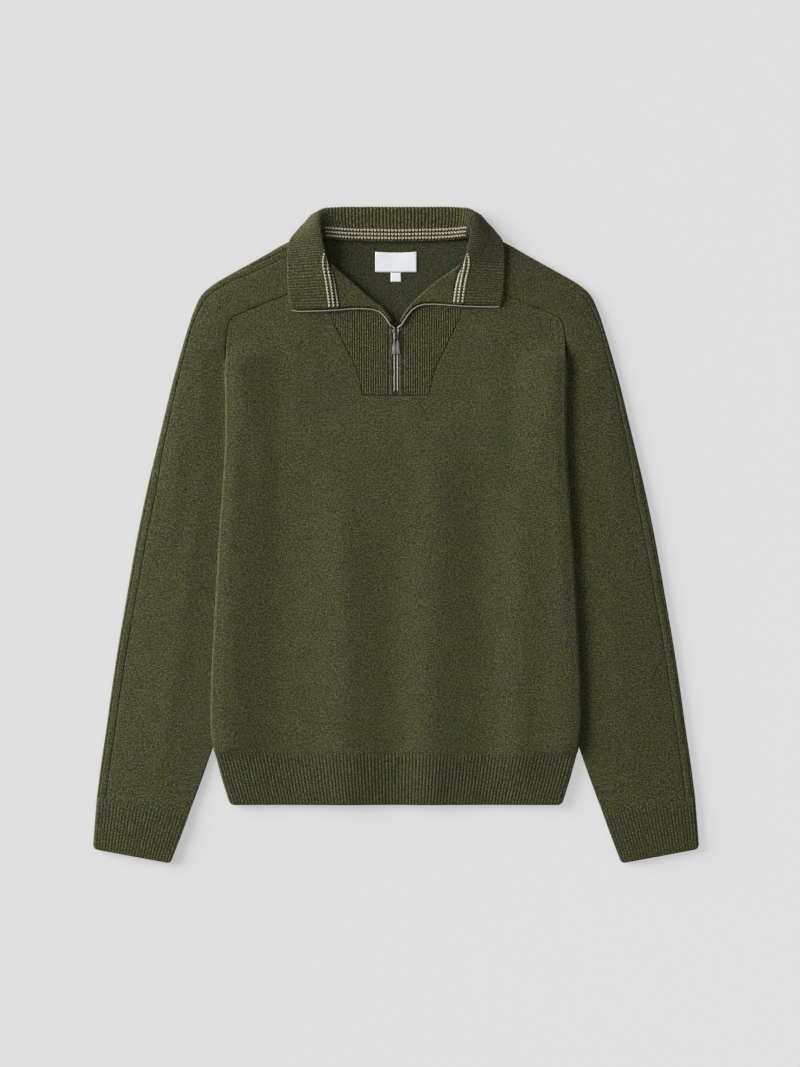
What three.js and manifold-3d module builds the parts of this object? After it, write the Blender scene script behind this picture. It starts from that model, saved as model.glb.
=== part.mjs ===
// Quarter zip sweater in heather green wool, laid out flat on its back.
// Millimetres, +Z up. The garment lies on z = 0 with its collar toward +Y, and its origin is the
// middle of the rectangle that it covers. X is positive toward the wearer's left sleeve.
import * as THREE from "three";
import { mergeVertices } from "three/addons/utils/BufferGeometryUtils.js";
import Module from "manifold-3d";

const wasm = await Module();
wasm.setup();

// Driving dimensions
const plainCloth = 2.5; // plain knit wall
const ribCloth = 3.0; // ribbed knit wall
const facingCloth = 2.3; // facing wall beside the zip
const sideCurl = 60; // degrees that the rolled edge turns on under itself
const seamGap = 0.4; // between pieces that are sewn together
const layerGap = 0.3; // between layers that lie on each other
const sideRoll = 4.1; // radius of the body's rolled side edge
const neckTop = 6.2; // height of the front round the zip
const sideTop = 13.7; // height of the front along its side edges, over the sleeves
const sideCrest = 0.9; // how much higher it is a little further in
const sleeveRoll = 3.1; // radius of the fold along a sleeve's outer edge
const hemTopY = -253.8;
const hemBottomY = -315.5;
const backNeckY = 349.5;
const zipStopY = 168;
const placketFootY = 163.8;
const placketHeadY = 298;

// Ribs: distance from one to the next, and how far they stand out
const hemRibs = { pitch: 4.1, relief: 0.45 };
const cuffRibs = { pitch: 4.1, relief: 0.45 };
const placketRibs = { pitch: 2.75, relief: 0.3 };
const collarRibs = { perHalf: 62, relief: 0.35 };

const colours = {
  wool: 0x464730,
  rib: 0x40412b,
  metal: 0x9a9a96,
  label: 0xf2f4f8,
};

// Rows of numbers under column names
function table(names, rows) {
  const keys = names.split(" ");
  return rows.map((row) => Object.fromEntries(keys.map((key, i) => [key, row[i]])));
}

const clamp = (value, low, high) => Math.min(high, Math.max(low, value));
const lerp = (a, b, t) => a + (b - a) * t;

// 0 before `from`, 1 past `to`, soft between them; `from` may be the larger
function smooth(from, to, value) {
  const t = clamp((value - from) / (to - from), 0, 1);
  return t * t * (3 - 2 * t);
}

// A smooth curve without overshoot through one column of a table, read at any value of `key`
function curve(rows, key, column) {
  const xs = rows.map((row) => row[key]);
  const ys = rows.map((row) => row[column]);
  const last = xs.length - 1;
  const slopes = xs.slice(1).map((x, i) => (ys[i + 1] - ys[i]) / (x - xs[i]));
  const tangents = xs.map((_, i) => {
    if (i === 0) return slopes[0];
    if (i === last) return slopes[last - 1];
    const [before, after] = [slopes[i - 1], slopes[i]];
    return before * after <= 0 ? 0 : (2 * before * after) / (before + after);
  });
  return (at) => {
    const x = clamp(at, xs[0], xs[last]);
    let i = 0;
    while (i < last - 1 && x > xs[i + 1]) i += 1;
    const width = xs[i + 1] - xs[i];
    const t = (x - xs[i]) / width;
    return (
      ys[i] * (1 + 2 * t) * (1 - t) ** 2 +
      tangents[i] * width * t * (1 - t) ** 2 +
      ys[i + 1] * t * t * (3 - 2 * t) +
      tangents[i + 1] * width * t * t * (t - 1)
    );
  };
}

// Moves a line of [x, y] points to its left by `distance`
function shiftLine(points, distance) {
  return points.map(([x, y], i) => {
    const [ax, ay] = points[Math.max(i - 1, 0)];
    const [bx, by] = points[Math.min(i + 1, points.length - 1)];
    const length = Math.hypot(bx - ax, by - ay);
    return [x - ((by - ay) / length) * distance, y + ((bx - ax) / length) * distance];
  });
}

// A closed wall between an outer grid of points and an inner one that may hold fewer columns
function wall(outer, inner) {
  const rows = outer.length;
  const columns = outer[0].length;
  const innerColumns = inner[0].length;
  const step = (columns - 1) / (innerColumns - 1);
  const positions = [...outer.flat(2), ...inner.flat(2)];
  const o = (i, j) => i * columns + j;
  const n = (i, j) => rows * columns + i * innerColumns + j;
  const faces = [];
  const quad = (a, b, c, d) => faces.push(a, b, c, a, c, d);
  for (let i = 0; i < rows - 1; i++) {
    for (let j = 0; j < columns - 1; j++) quad(o(i, j), o(i, j + 1), o(i + 1, j + 1), o(i + 1, j));
    for (let j = 0; j < innerColumns - 1; j++) quad(n(i, j), n(i + 1, j), n(i + 1, j + 1), n(i, j + 1));
    quad(o(i, 0), o(i + 1, 0), n(i + 1, 0), n(i, 0));
    quad(o(i, columns - 1), n(i, innerColumns - 1), n(i + 1, innerColumns - 1), o(i + 1, columns - 1));
  }
  const end = rows - 1;
  for (let k = 0; k < innerColumns - 1; k++) {
    for (let j = k * step; j < (k + 1) * step; j++) {
      faces.push(o(0, j), n(0, k), o(0, j + 1));
      faces.push(o(end, j), o(end, j + 1), n(end, k));
    }
    faces.push(n(0, k), n(0, k + 1), o(0, (k + 1) * step));
    faces.push(n(end, k), o(end, (k + 1) * step), n(end, k + 1));
  }
  return facingOut(positions, faces);
}

// A geometry whose faces point out, whichever way its grid was walked
function facingOut(positions, faces) {
  const at = (i) => new THREE.Vector3(...positions.slice(3 * i, 3 * i + 3));
  let volume = 0;
  for (let f = 0; f < faces.length; f += 3) {
    volume += at(faces[f]).dot(at(faces[f + 1]).cross(at(faces[f + 2])));
  }
  if (volume < 0) faces.reverse();
  const geometry = new THREE.BufferGeometry();
  geometry.setAttribute("position", new THREE.Float32BufferAttribute(positions, 3));
  geometry.setIndex(faces);
  return geometry;
}

// The inner grid takes every `every`-th point of a full one
const thin = (grid, every) => grid.map((row) => row.filter((_, j) => j % every === 0));

function slab(points, low, high) {
  const shape = new THREE.Shape(points.map(([x, y]) => new THREE.Vector2(x, y)));
  const geometry = new THREE.ExtrudeGeometry(shape, { depth: high - low, bevelEnabled: false });
  return geometry.translate(0, 0, low);
}

// A line of points down the right side, closed by its mirror image
const mirrored = (points) => [...points, ...points.map(([x, y]) => [-x, y]).reverse()];

function toSolid(geometry) {
  const bare = new THREE.BufferGeometry();
  bare.setAttribute("position", geometry.getAttribute("position"));
  if (geometry.index) bare.setIndex(geometry.index);
  const merged = mergeVertices(bare, 1e-3);
  const vertProperties = new Float32Array(merged.getAttribute("position").array);
  const triVerts = new Uint32Array(merged.index.array);
  return new wasm.Manifold(new wasm.Mesh({ numProp: 3, vertProperties, triVerts }));
}

function toGeometry(solid) {
  const mesh = solid.getMesh();
  const geometry = new THREE.BufferGeometry();
  geometry.setAttribute("position", new THREE.BufferAttribute(new Float32Array(mesh.vertProperties), 3));
  geometry.setIndex(new THREE.BufferAttribute(new Uint32Array(mesh.triVerts), 1));
  return geometry;
}

const material = (color, roughness, metalness) =>
  new THREE.MeshStandardMaterial({ color, roughness, metalness });
const wool = material(colours.wool, 0.95, 0);
const rib = material(colours.rib, 0.95, 0);
const metal = material(colours.metal, 0.35, 1);
const labelCloth = material(colours.label, 0.8, 0);

const garment = new THREE.Group();

function add(name, geometry, finish) {
  const bare = new THREE.BufferGeometry();
  bare.setAttribute("position", geometry.getAttribute("position"));
  bare.setIndex(geometry.index);
  const flat = bare.index ? bare.toNonIndexed() : bare;
  flat.computeVertexNormals();
  const mesh = new THREE.Mesh(flat, finish);
  mesh.name = name;
  garment.add(mesh);
}

// The same piece on both sides; `side` is 1 toward +X and -1 toward -X
function addPair(name, geometryOf, finish) {
  add(name + "_left", geometryOf(1), finish);
  add(name + "_right", geometryOf(-1), finish);
}

// Sleeve sections from the cuff seam up to the neck: where the outer fold and the inner edge lie,
// the height of the crown, the height at the inner edge, how much of the width lies under the
// body, and how far the strip's inner groove lies from the fold
const sleeveSections = table("outX outY inX inY crown inTop tuck groove", [
  [350.2, -306.0, 241.6, -323.7, 7.0, 5.7, 0, 11.1],
  [345.4, -268.7, 227.2, -285.1, 7.2, 5.5, 0, 11.1],
  [339.4, -227.8, 213.0, -244.2, 7.4, 5.3, 6, 11.1],
  [332.9, -181.0, 196.6, -197.4, 7.5, 5.3, 24, 11.1],
  [324.9, -128.3, 188.4, -145.9, 7.5, 5.3, 30, 11.2],
  [315.9, -75.7, 184.9, -92.1, 7.6, 5.3, 31, 11.5],
  [305.4, -14.9, 180.8, -31.2, 7.6, 5.3, 31, 11.7],
  [292.9, 47.2, 177.3, 31.9, 7.7, 5.3, 31, 11.5],
  [280.6, 99.8, 175.5, 88.1, 7.7, 5.3, 29, 8.2],
  [270.3, 143.1, 179.0, 132.6, 7.7, 5.3, 24, 7.0],
  [262.1, 177.0, 189.5, 170.0, 7.7, 5.3, 14, 6.2],
  [254.5, 205.1, 199.7, 202.8, 7.8, 5.3, 4, 5.9],
  [244.2, 240.2, 198.5, 228.5, 7.9, 7.0, 0, 4.4],
  [236.3, 263.6, 196.3, 243.7, 7.8, 7.1, 0, 5.8],
  [227.6, 281.2, 192.5, 253.1, 7.7, 7.1, 0, 7.2],
  [214.7, 292.9, 184.9, 257.8, 7.7, 7.1, 0, 7.8],
  [195.4, 304.6, 173.2, 263.0, 7.6, 7.1, 0, 8.4],
  [174.3, 316.3, 157.9, 269.5, 7.5, 7.1, 0, 11.4],
  [153.3, 328.0, 140.4, 276.5, 7.4, 7.1, 0, 13.6],
  [132.2, 340.2, 121.7, 284.1, 7.2, 6.9, 0, 15.4],
  [112.0, 350.0, 106.0, 296.2, 7.0, 6.7, 0, 17.0],
  [101.5, 353.6, 97.0, 317.0, 6.8, 6.5, 0, 17.0],
]);
const stripWidth = 8.2; // between the two grooves along a sleeve
const grooveDepth = 0.55;

const sleeveSeam = sleeveSections.map((row) => [row.inX, row.inY]);
const armholeEnd = sleeveSections.findIndex((row) => row.tuck === 0 && row.inY > 0);

// Body side edge, from the hem seam up to the armhole; `roll` is 1 where the edge curls down
const bodySide = table("y x roll", [
  [-253.8, 212.6, 1],
  [-245.3, 214.1, 1],
  [-213.8, 216.8, 1],
  [-181.0, 216.4, 1],
  [-128.0, 214.0, 1],
  [-75.7, 211.2, 1],
  [-20.0, 208.0, 1],
  [31.9, 204.6, 1],
  [75.0, 201.4, 1],
  [111.5, 199.7, 1],
  [158.3, 199.6, 1],
  [186.4, 200.3, 1],
  [202.0, 199.9, 1],
  [208.0, 198.9, 0.6],
  [218.0, 198.3, 0.3],
]);
const bodySideAt = curve(bodySide, "y", "x");

// Soft folds that run down the front: where each lies at y = 0, how far it strays over 100 mm,
// how high (or deep) it is, its half width and its ends
const bodyFolds = table("x stray height width top bottom", [
  [-124, -2, -2.3, 30, 60, -335],
  [-62, 2, 2.6, 24, 60, -340],
  [-6, 3, -2.0, 22, -20, -345],
  [46, -2, 2.7, 24, 100, -330],
  [103, 2, -2.2, 25, 60, -345],
  [152, -3, 3.3, 27, 60, -290],
]);

// Height of the front between its folds, from the hem to the chest
const bodyTopAt = curve(table("y z", [
  [-320, 8.0],
  [-230, 9.1],
  [-120, 9.7],
  [90, 9.7],
  [200, 7.7],
]), "y", "z");

// Height of the front's upper side
function frontTop(x, y) {
  let z = bodyTopAt(y);
  for (const fold of bodyFolds) {
    const along = smooth(fold.top + 60, fold.top - 60, y) * smooth(fold.bottom - 20, fold.bottom + 40, y);
    const middle = fold.x - (fold.stray * y) / 100;
    z += fold.height * along * Math.exp(-(((x - middle) / fold.width) ** 2));
  }
  z = lerp(z, neckTop, smooth(120, 70, Math.abs(x)) * smooth(120, 160, y));
  const fromSide = bodySideAt(clamp(y, hemTopY, 220)) - Math.abs(x);
  const edgeTop = sideTop + sideCrest * smooth(sideRoll, 13, fromSide);
  return lerp(z, edgeTop, smooth(70, 14, fromSide) * smooth(226, 203, y) * smooth(-264, -244, y));
}

// Points round a rolled side edge: the outer and the inner side of the cloth, as [x, z].
// `curl` is how far the edge turns on under itself, in degrees.
const rollShares = [0, 0.25, 0.5, 0.75, 1];
function rolledEdge(edge, top, radius, cloth, curl = 0) {
  const inside = radius - cloth;
  return rollShares.map((share) => {
    const angle = THREE.MathUtils.degToRad(90 - share * (90 + curl));
    const [across, up] = [Math.cos(angle), Math.sin(angle)];
    const outer = [edge - radius + radius * across, top - radius + radius * up];
    const inner =
      inside > 0.15
        ? [edge - radius + inside * across, top - radius + inside * up]
        : [outer[0], top - cloth];
    return { outer, inner };
  });
}

// One row of a flat panel with rolled sides, from -X to +X
function panelRow(y, edge, radius, shares, cloth, topAt) {
  const flat = edge - radius;
  const half = shares.map((share) => {
    const x = flat * share;
    return { x, outer: topAt(x, y), inner: topAt(x, y) - cloth };
  });
  const sides = [-1, 1].map((side) => {
    const top = topAt(side * flat, y);
    const curl = sideCurl * clamp(radius - cloth, 0, 1);
    return rolledEdge(edge, top, radius, cloth, curl).map(({ outer, inner }) => ({
      outer: [side * outer[0], y, outer[1]],
      inner: [side * inner[0], y, inner[1]],
    }));
  });
  const left = half.slice(1).reverse();
  const middle = [
    ...left.map((p) => ({ x: -p.x, outer: topAt(-p.x, y), inner: topAt(-p.x, y) - cloth })),
    ...half,
  ].map((p) => ({ outer: [p.x, y, p.outer], inner: [p.x, y, p.inner] }));
  return [...sides[0].reverse(), ...middle, ...sides[1]];
}

function placketSeamLine() {
  return [
    [38.6, placketFootY],
    [41.8, 181.7],
    [46.8, 198.1],
    [59.2, 222.7],
    [74.2, 254.2],
    [77.2, 265.9],
    [82.0, 281.0],
  ];
}

function frontPanel() {
  const shares = [0, 0.09, 0.18, 0.27, 0.36, 0.45, 0.54, 0.63, 0.72, 0.81, 0.9, 0.96];
  const saddle = shiftLine(sleeveSeam, seamGap).slice(armholeEnd, -1);
  const rows = [
    ...bodySide.map(({ y, x, roll }) => [y, x, Math.max(sideRoll * roll, 0.8)]),
    ...saddle.map(([x, y]) => [y, x, 0.8]),
  ];
  const points = rows.map(([y, edge, radius]) =>
    panelRow(y, edge, radius, shares, plainCloth, frontTop),
  );
  const outer = points.map((row) => row.map((p) => p.outer));
  const inner = points.map((row) => row.map((p) => p.inner));
  const seam = shiftLine(placketSeamLine(), -seamGap);
  const panel = toSolid(wall(outer, thin(inner, 2)));
  const notch = mirrored([[seam[0][0], placketFootY - seamGap], ...seam, [84, 330]]);
  const cutter = toSolid(slab(notch, 0, 30));
  return toGeometry(panel.subtract(cutter));
}

function backPanel() {
  const side = shiftLine(sleeveSeam, seamGap).slice(2);
  const points = [[211.2, hemTopY], ...side, [94, 333], [91.5, 342], [88, backNeckY]];
  return slab(mirrored(points), 0, plainCloth - 0.1);
}

// Half width of the hem band, from its seam down to its lower edge
const hemSide = table("y x", [
  [-315.5, 194.2],
  [-303.8, 197.9],
  [-286.3, 203.4],
  [-268.7, 208.2],
  [-253.8, 212.2],
]);
const hemSideAt = curve(hemSide, "y", "x");
const hemCorner = 5; // radius of the band's lower corners
const bandUnder = ribCloth - 0.2; // height of the band's lower layer

function hemFront() {
  const ribs = 2 * Math.round(212 / hemRibs.pitch / 2) * 2;
  const columns = 2 * ribs;
  const outer = [];
  const inner = [];
  for (const v of [0, 0.05, 0.95, 1]) {
    const outerRow = [];
    const innerRow = [];
    for (let j = 0; j <= columns; j++) {
      const u = (2 * j) / columns - 1;
      const fromEdge = (1 - Math.abs(u)) * 194;
      const cut = Math.max(hemCorner - fromEdge, 0);
      const lift = hemCorner - Math.sqrt(hemCorner ** 2 - cut ** 2);
      const y = lerp(hemTopY - seamGap, hemBottomY + lift, v);
      const x = u * hemSideAt(y);
      const round = Math.min(1, fromEdge / 4);
      const sideDrop = 2.6 * (1 - Math.sqrt(1 - (1 - round) ** 2));
      const endDrop = v === 0 || v === 1 ? 0.9 : 0;
      const top = frontTop(x, y) - sideDrop - endDrop;
      const relief = endDrop || sideDrop > 1 ? 0 : hemRibs.relief * (j % 2 ? 1 : -1);
      outerRow.push([x, y, top + relief]);
      const lowest = bandUnder + layerGap;
      innerRow.push([x, y, round < 1 ? lowest : Math.max(top + endDrop - ribCloth, lowest)]);
    }
    outer.push(outerRow);
    inner.push(innerRow);
  }
  return wall(outer, thin(inner, 8));
}

function hemBack() {
  const side = hemSide.map(({ y, x }) => [x - 2.5, clamp(y, hemBottomY + 1.5, hemTopY - seamGap)]);
  return slab(mirrored(side), 0, bandUnder);
}

// Across a folded sleeve: distances from its outer fold, with the grooves of the strip
function sleeveColumns(width, groove) {
  const wanted = [0, 0.5, 1.3, groove - stripWidth - 0.9, groove - stripWidth, groove - stripWidth + 0.9];
  wanted.push(groove - 0.9, groove, groove + 0.9);
  wanted.push(...[0.2, 0.3, 0.41, 0.52, 0.63, 0.75, 0.87].map((share) => share * width), width - 2, width);
  for (let k = 1; k < wanted.length; k++) wanted[k] = Math.max(wanted[k], wanted[k - 1] + 0.35);
  return wanted;
}

// Height of a folded sleeve's upper side at `s` from its outer fold
function sleeveTop(row, width, s) {
  const roll = row.roll;
  const shown = width - row.tuck;
  const share = clamp(s / shown, 0, 1);
  const round = s < roll ? roll - Math.sqrt(roll ** 2 - (roll - s) ** 2) : 0;
  const crown = (row.crown - 2 * roll) * Math.sin(Math.PI * share ** 1.15);
  const down = (row.inTop - 2 * roll) * smooth(0.55, 0.96, share);
  return 2 * roll - round + crown + down;
}

function sleeveGroove(row, s) {
  const dip = (at) => Math.exp(-(((s - at) / 0.6) ** 2));
  const outerGroove = row.groove - stripWidth;
  return grooveDepth * (dip(row.groove) + (outerGroove > 1.5 ? dip(outerGroove) : 0));
}

// Walks a section from its inner edge underneath, round the fold and back over the top
function sleeveRow(row, side, cloth, columns, topAt) {
  const width = Math.hypot(row.inX - row.outX, row.inY - row.outY);
  const [ax, ay] = [(row.inX - row.outX) / width, (row.inY - row.outY) / width];
  const roll = row.roll;
  const place = (s, z) => [side * (row.outX + ax * s), row.outY + ay * s, z];
  // The inner side of the fold: a small arc round the same centre
  const insideFold = (s, way) => {
    const back = Math.max(1 - s / roll, 0);
    const radius = roll - cloth;
    return place(Math.max(s, roll) - radius * back, roll + way * radius * Math.sqrt(1 - back ** 2));
  };
  const under = [width, width / 2, roll, 1.2, 0.3];
  const outer = under.map((s) => {
    const up = s < roll ? roll - Math.sqrt(roll ** 2 - (roll - s) ** 2) : 0;
    return place(s, up);
  });
  const inner = under.map((s) => insideFold(s, -1));
  for (const s of columns(width)) {
    const top = topAt(width, s);
    outer.push(place(s, top.outer));
    const low = Math.max(top.base - cloth, cloth + layerGap);
    inner.push(s < roll ? insideFold(s, 1) : place(s, low));
  }
  return { outer, inner };
}

function sleeve(side) {
  const [first, second, ...others] = sleeveSections.map((row) => ({ ...row, roll: sleeveRoll }));
  const rows = [shortened(first, second, seamGap), second, ...others].map((row) =>
    sleeveRow(
      row,
      side,
      plainCloth,
      (width) => sleeveColumns(width, row.groove),
      (width, s) => {
        const base = sleeveTop(row, width, s);
        return { base, outer: base - (s < width - row.tuck ? sleeveGroove(row, s) : 0) };
      },
    ),
  );
  return wall(rows.map((row) => row.outer), thin(rows.map((row) => row.inner), 2));
}

// The same section moved toward the next one by `distance`
function shortened(row, next, distance) {
  const length = Math.hypot(next.outX - row.outX, next.outY - row.outY);
  const t = distance / length;
  return {
    ...row,
    outX: lerp(row.outX, next.outX, t),
    outY: lerp(row.outY, next.outY, t),
    inX: lerp(row.inX, next.inX, t),
    inY: lerp(row.inY, next.inY, t),
  };
}

const cuffRoll = 3.4; // radius of the fold along a cuff's outer edge
const cuffTop = { ...sleeveSections[0], crown: 7.8, inTop: 7.0, roll: cuffRoll };
const cuffEnd = { ...cuffTop, outX: 355.0, outY: -367.0, inX: 262.6, inY: -384.1, crown: 7.5 };

function cuff(side) {
  const ribs = 26;
  const ribShares = Array.from({ length: 2 * ribs + 1 }, (_, j) => j / (2 * ribs));
  const rows = [0, 0.04, 0.95, 1].map((v) => {
    const sizes = Object.keys(cuffEnd).map((key) => [key, lerp(cuffTop[key], cuffEnd[key], v)]);
    const row = Object.fromEntries(sizes);
    const end = v === 0 || v === 1;
    let count = -1;
    return sleeveRow(
      row,
      side,
      ribCloth,
      (width) => [0, 0.5, 1.5, ...ribShares.map((share) => lerp(3.5, width, share))],
      (width, s) => {
        count += 1;
        const base = sleeveTop(row, width, s);
        const relief = count > 3 && s < width - 1 && !end ? cuffRibs.relief * (count % 2 ? 1 : -1) : 0;
        return { base, outer: base + relief - (end && s > 1 ? 0.7 : 0) };
      },
    );
  });
  return wall(rows.map((row) => row.outer), thin(rows.map((row) => row.inner), 4));
}

// Upper end of the placket at each distance from the zip; past the first columns it runs along
// the turned facing and then under the collar
const placketHead = table("x y", [
  [0.15, zipStopY - 0.4],
  [3.2, zipStopY - 0.4],
  [3.45, 231.0],
  [4.6, 240.0],
  [6.6, 247.5],
  [10.6, 257.6],
  [20.5, 270.6],
  [32.2, 280.8],
  [45.0, 291.0],
  [53.0, placketHeadY],
  [86.0, placketHeadY],
]);
const placketFoot = table("x y", [[0.15, placketFootY], ...placketSeamLine(), [86.0, 292.0]]);
const lipEnd = 8.2; // the plain lip beside the zip ends here, at a groove

function placket(side) {
  const headAt = (x) => straight(placketHead, x);
  const footAt = (x) => straight(placketFoot, x);
  const xs = [0.15, 3.2, 3.45, 5.0, 7.6, lipEnd, 8.9];
  const ribsStart = 10;
  const halfPitch = placketRibs.pitch / 2;
  const ribColumns = Math.floor((82 - ribsStart) / halfPitch);
  for (let j = 0; j <= ribColumns; j++) xs.push(ribsStart + j * halfPitch);
  // The columns nearest to the bends of the seam move onto them
  for (const [bend] of placketSeamLine()) {
    const nearest = xs.reduce((best, x, j) => (Math.abs(x - bend) < Math.abs(xs[best] - bend) ? j : best), 0);
    xs[nearest] = bend;
  }
  const outer = [];
  const inner = [];
  for (const v of [0, 0.03, 0.5, 1]) {
    const row = xs.map((x, j) => {
      const y = lerp(footAt(x), headAt(x), v);
      const lip = x < lipEnd ? 0.25 : x === lipEnd ? -0.6 : 0;
      const relief = x > 9 ? placketRibs.relief * (j % 2 ? 1 : -1) : lip;
      return { x: side * x, y, top: neckTop + (v === 0 ? -0.4 : relief) };
    });
    outer.push(row.map((p) => [p.x, p.y, p.top]));
    inner.push(row.map((p) => [p.x, p.y, neckTop - ribCloth]));
  }
  return wall(outer, inner);
}

// A table of x and y read in straight stretches
function straight(rows, x) {
  let i = 0;
  while (i < rows.length - 2 && x > rows[i + 1].x) i += 1;
  const t = (x - rows[i].x) / (rows[i + 1].x - rows[i].x);
  return lerp(rows[i].y, rows[i + 1].y, clamp(t, 0, 1));
}

// The turned facing beside the open zip, from the slider up to the corner of the neck:
// its fold along the neck opening and its far edge along the zip and the collar seam
const lapelSections = table("foldX foldY foldZ farX farY farZ", [
  [4.6, 251.5, 8.9, 6.2, 247.6, 8.8],
  [9.6, 260.4, 9.1, 12.0, 257.4, 9.0],
  [14.6, 266.4, 9.2, 17.6, 264.0, 9.1],
  [19.9, 271.8, 9.4, 22.6, 267.2, 9.2],
  [31.6, 281.7, 9.8, 33.9, 269.9, 9.4],
  [44.5, 292.9, 10.2, 49.1, 270.1, 9.6],
  [58.5, 304.0, 10.8, 65.0, 268.6, 9.8],
  [66.7, 310.4, 11.6, 67.6, 284.7, 10.0],
  [72.0, 314.6, 12.6, 71.2, 301.6, 10.2],
  [75.6, 317.4, 13.4, 75.0, 308.6, 10.8],
]);
const lapelRoll = 2.6;

function lapel(side) {
  const outer = [];
  const inner = [];
  for (const row of lapelSections) {
    const length = Math.hypot(row.foldX - row.farX, row.foldY - row.farY);
    const [ax, ay] = [(row.foldX - row.farX) / length, (row.foldY - row.farY) / length];
    const place = (s, z) => [side * (row.farX + ax * s), row.farY + ay * s, z];
    const flat = length - lapelRoll;
    const standOn = neckTop + placketRibs.relief + layerGap;
    const outerRow = [];
    const innerRow = [];
    for (const share of [0, 0.5]) {
      const z = lerp(row.farZ, row.foldZ, share);
      outerRow.push(place(flat * share, z));
      innerRow.push(place(flat * share, z - facingCloth));
    }
    for (const { outer: o, inner: n } of rolledEdge(length, row.foldZ, lapelRoll, facingCloth)) {
      outerRow.push(place(o[0], Math.max(o[1], standOn + 0.05)));
      innerRow.push(place(n[0], Math.max(n[1], standOn + 0.02)));
    }
    outerRow.push(place(length, standOn - 0.05));
    innerRow.push(place(length - facingCloth, standOn - 0.05));
    outer.push(outerRow);
    inner.push(innerRow);
  }
  return wall(outer, inner);
}

// Collar sections from the middle of the back to the front edge, each counted in ribs.
// The cloth leaves the neck seam, rises to its ridge, turns over it toward `heading` and ends at
// its edge after a turn of `turn`: 180 is folded back underneath and 0 lies flat outward.
const collarSections = table(
  "rib seamX seamY seamZ ridgeX ridgeY ridgeZ edgeX edgeY edgeZ heading turn reach",
  [
    [0, 0, 343.2, 5.8, 0, 375, 7.2, 0, 366, 0, 90, 180, 17],
    [12, 47, 344.2, 5.8, 49, 375, 7.3, 48, 366.6, 0, 90, 180, 17],
    [18, 68, 345.6, 5.8, 72, 375, 8.4, 70.5, 369, 0, 90, 172, 15],
    [21.5, 78.5, 346.8, 5.8, 83, 374.2, 11.6, 85, 374.5, 0.2, 80, 145, 11.5],
    [25, 86.5, 347.4, 5.6, 88.5, 370.5, 15.2, 97, 375.5, 1, 62, 100, 9],
    [29, 90.3, 345.4, 5.4, 89.5, 363, 17.6, 108, 366.3, 3.2, 44, 60, 10],
    [33, 91.2, 341.4, 5.4, 88.6, 354, 18.6, 118, 355, 6.8, 28, 35, 12],
    [37.5, 90.2, 336.0, 5.6, 87, 344.5, 18.6, 125, 344.2, 10.2, 14, 14, 13],
    [42, 86.8, 329.6, 6.4, 84.0, 333, 17.4, 127, 331, 10.8, 5, 4, 14],
    [46.5, 81.0, 319.4, 8.0, 82, 320, 15.6, 127.3, 318, 10.9, 0, 0, 14],
    [51.5, 72.8, 302.6, 9.7, 77.5, 302.5, 13.8, 127, 300, 10.9, 0, 0, 14],
    [57, 68.8, 285, 10.0, 75, 285, 12.6, 126, 283, 10.9, 0, 0, 14],
    [62, 66.2, 268, 10.0, 73, 267.4, 11.2, 122.5, 267, 10.9, 0, 0, 14],
  ],
);
const collarCurves = Object.fromEntries(
  Object.keys(collarSections[0])
    .slice(1)
    .map((column) => [column, curve(collarSections, "rib", column)]),
);

const bezier = (a, b, c, d, t) =>
  a
    .clone()
    .multiplyScalar((1 - t) ** 3)
    .addScaledVector(b, 3 * t * (1 - t) ** 2)
    .addScaledVector(c, 3 * t * t * (1 - t))
    .addScaledVector(d, t ** 3);

// A point of the smooth collar; v is 0 at the neck seam, 1 at the ridge and 2 at the edge
function collarPoint(rib, v) {
  const at = (column) => collarCurves[column](Math.abs(rib));
  const seam = new THREE.Vector3(at("seamX"), at("seamY"), at("seamZ"));
  const ridge = new THREE.Vector3(at("ridgeX"), at("ridgeY"), at("ridgeZ"));
  const edge = new THREE.Vector3(at("edgeX"), at("edgeY"), at("edgeZ"));
  const [heading, turn] = [THREE.MathUtils.degToRad(at("heading")), THREE.MathUtils.degToRad(at("turn"))];
  const out = new THREE.Vector3(Math.cos(heading), Math.sin(heading), 0);
  const up = new THREE.Vector3(0, 0, 1);
  let point;
  if (v <= 1) {
    const rise = seam.distanceTo(ridge);
    const leave = seam.clone().lerp(ridge, 0.3).addScaledVector(up, 0.02 * rise);
    point = bezier(seam, leave, ridge.clone().addScaledVector(out, -0.3 * rise), ridge, v);
  } else {
    const reach = at("reach");
    const over = ridge.clone().addScaledVector(out, reach);
    const back = edge.clone().addScaledVector(out, -reach * Math.cos(turn));
    back.addScaledVector(up, reach * Math.sin(turn) * 0.8);
    point = bezier(ridge, over, back, edge, v - 1);
  }
  if (rib < 0) point.x *= -1;
  return point;
}

function collarNormal(rib, v) {
  const along = collarPoint(rib + 0.3, v).sub(collarPoint(rib - 0.3, v));
  const [from, to] = [Math.max(v - 0.04, 0), Math.min(v + 0.04, 2)];
  return along.cross(collarPoint(rib, to).sub(collarPoint(rib, from))).normalize();
}

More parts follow.
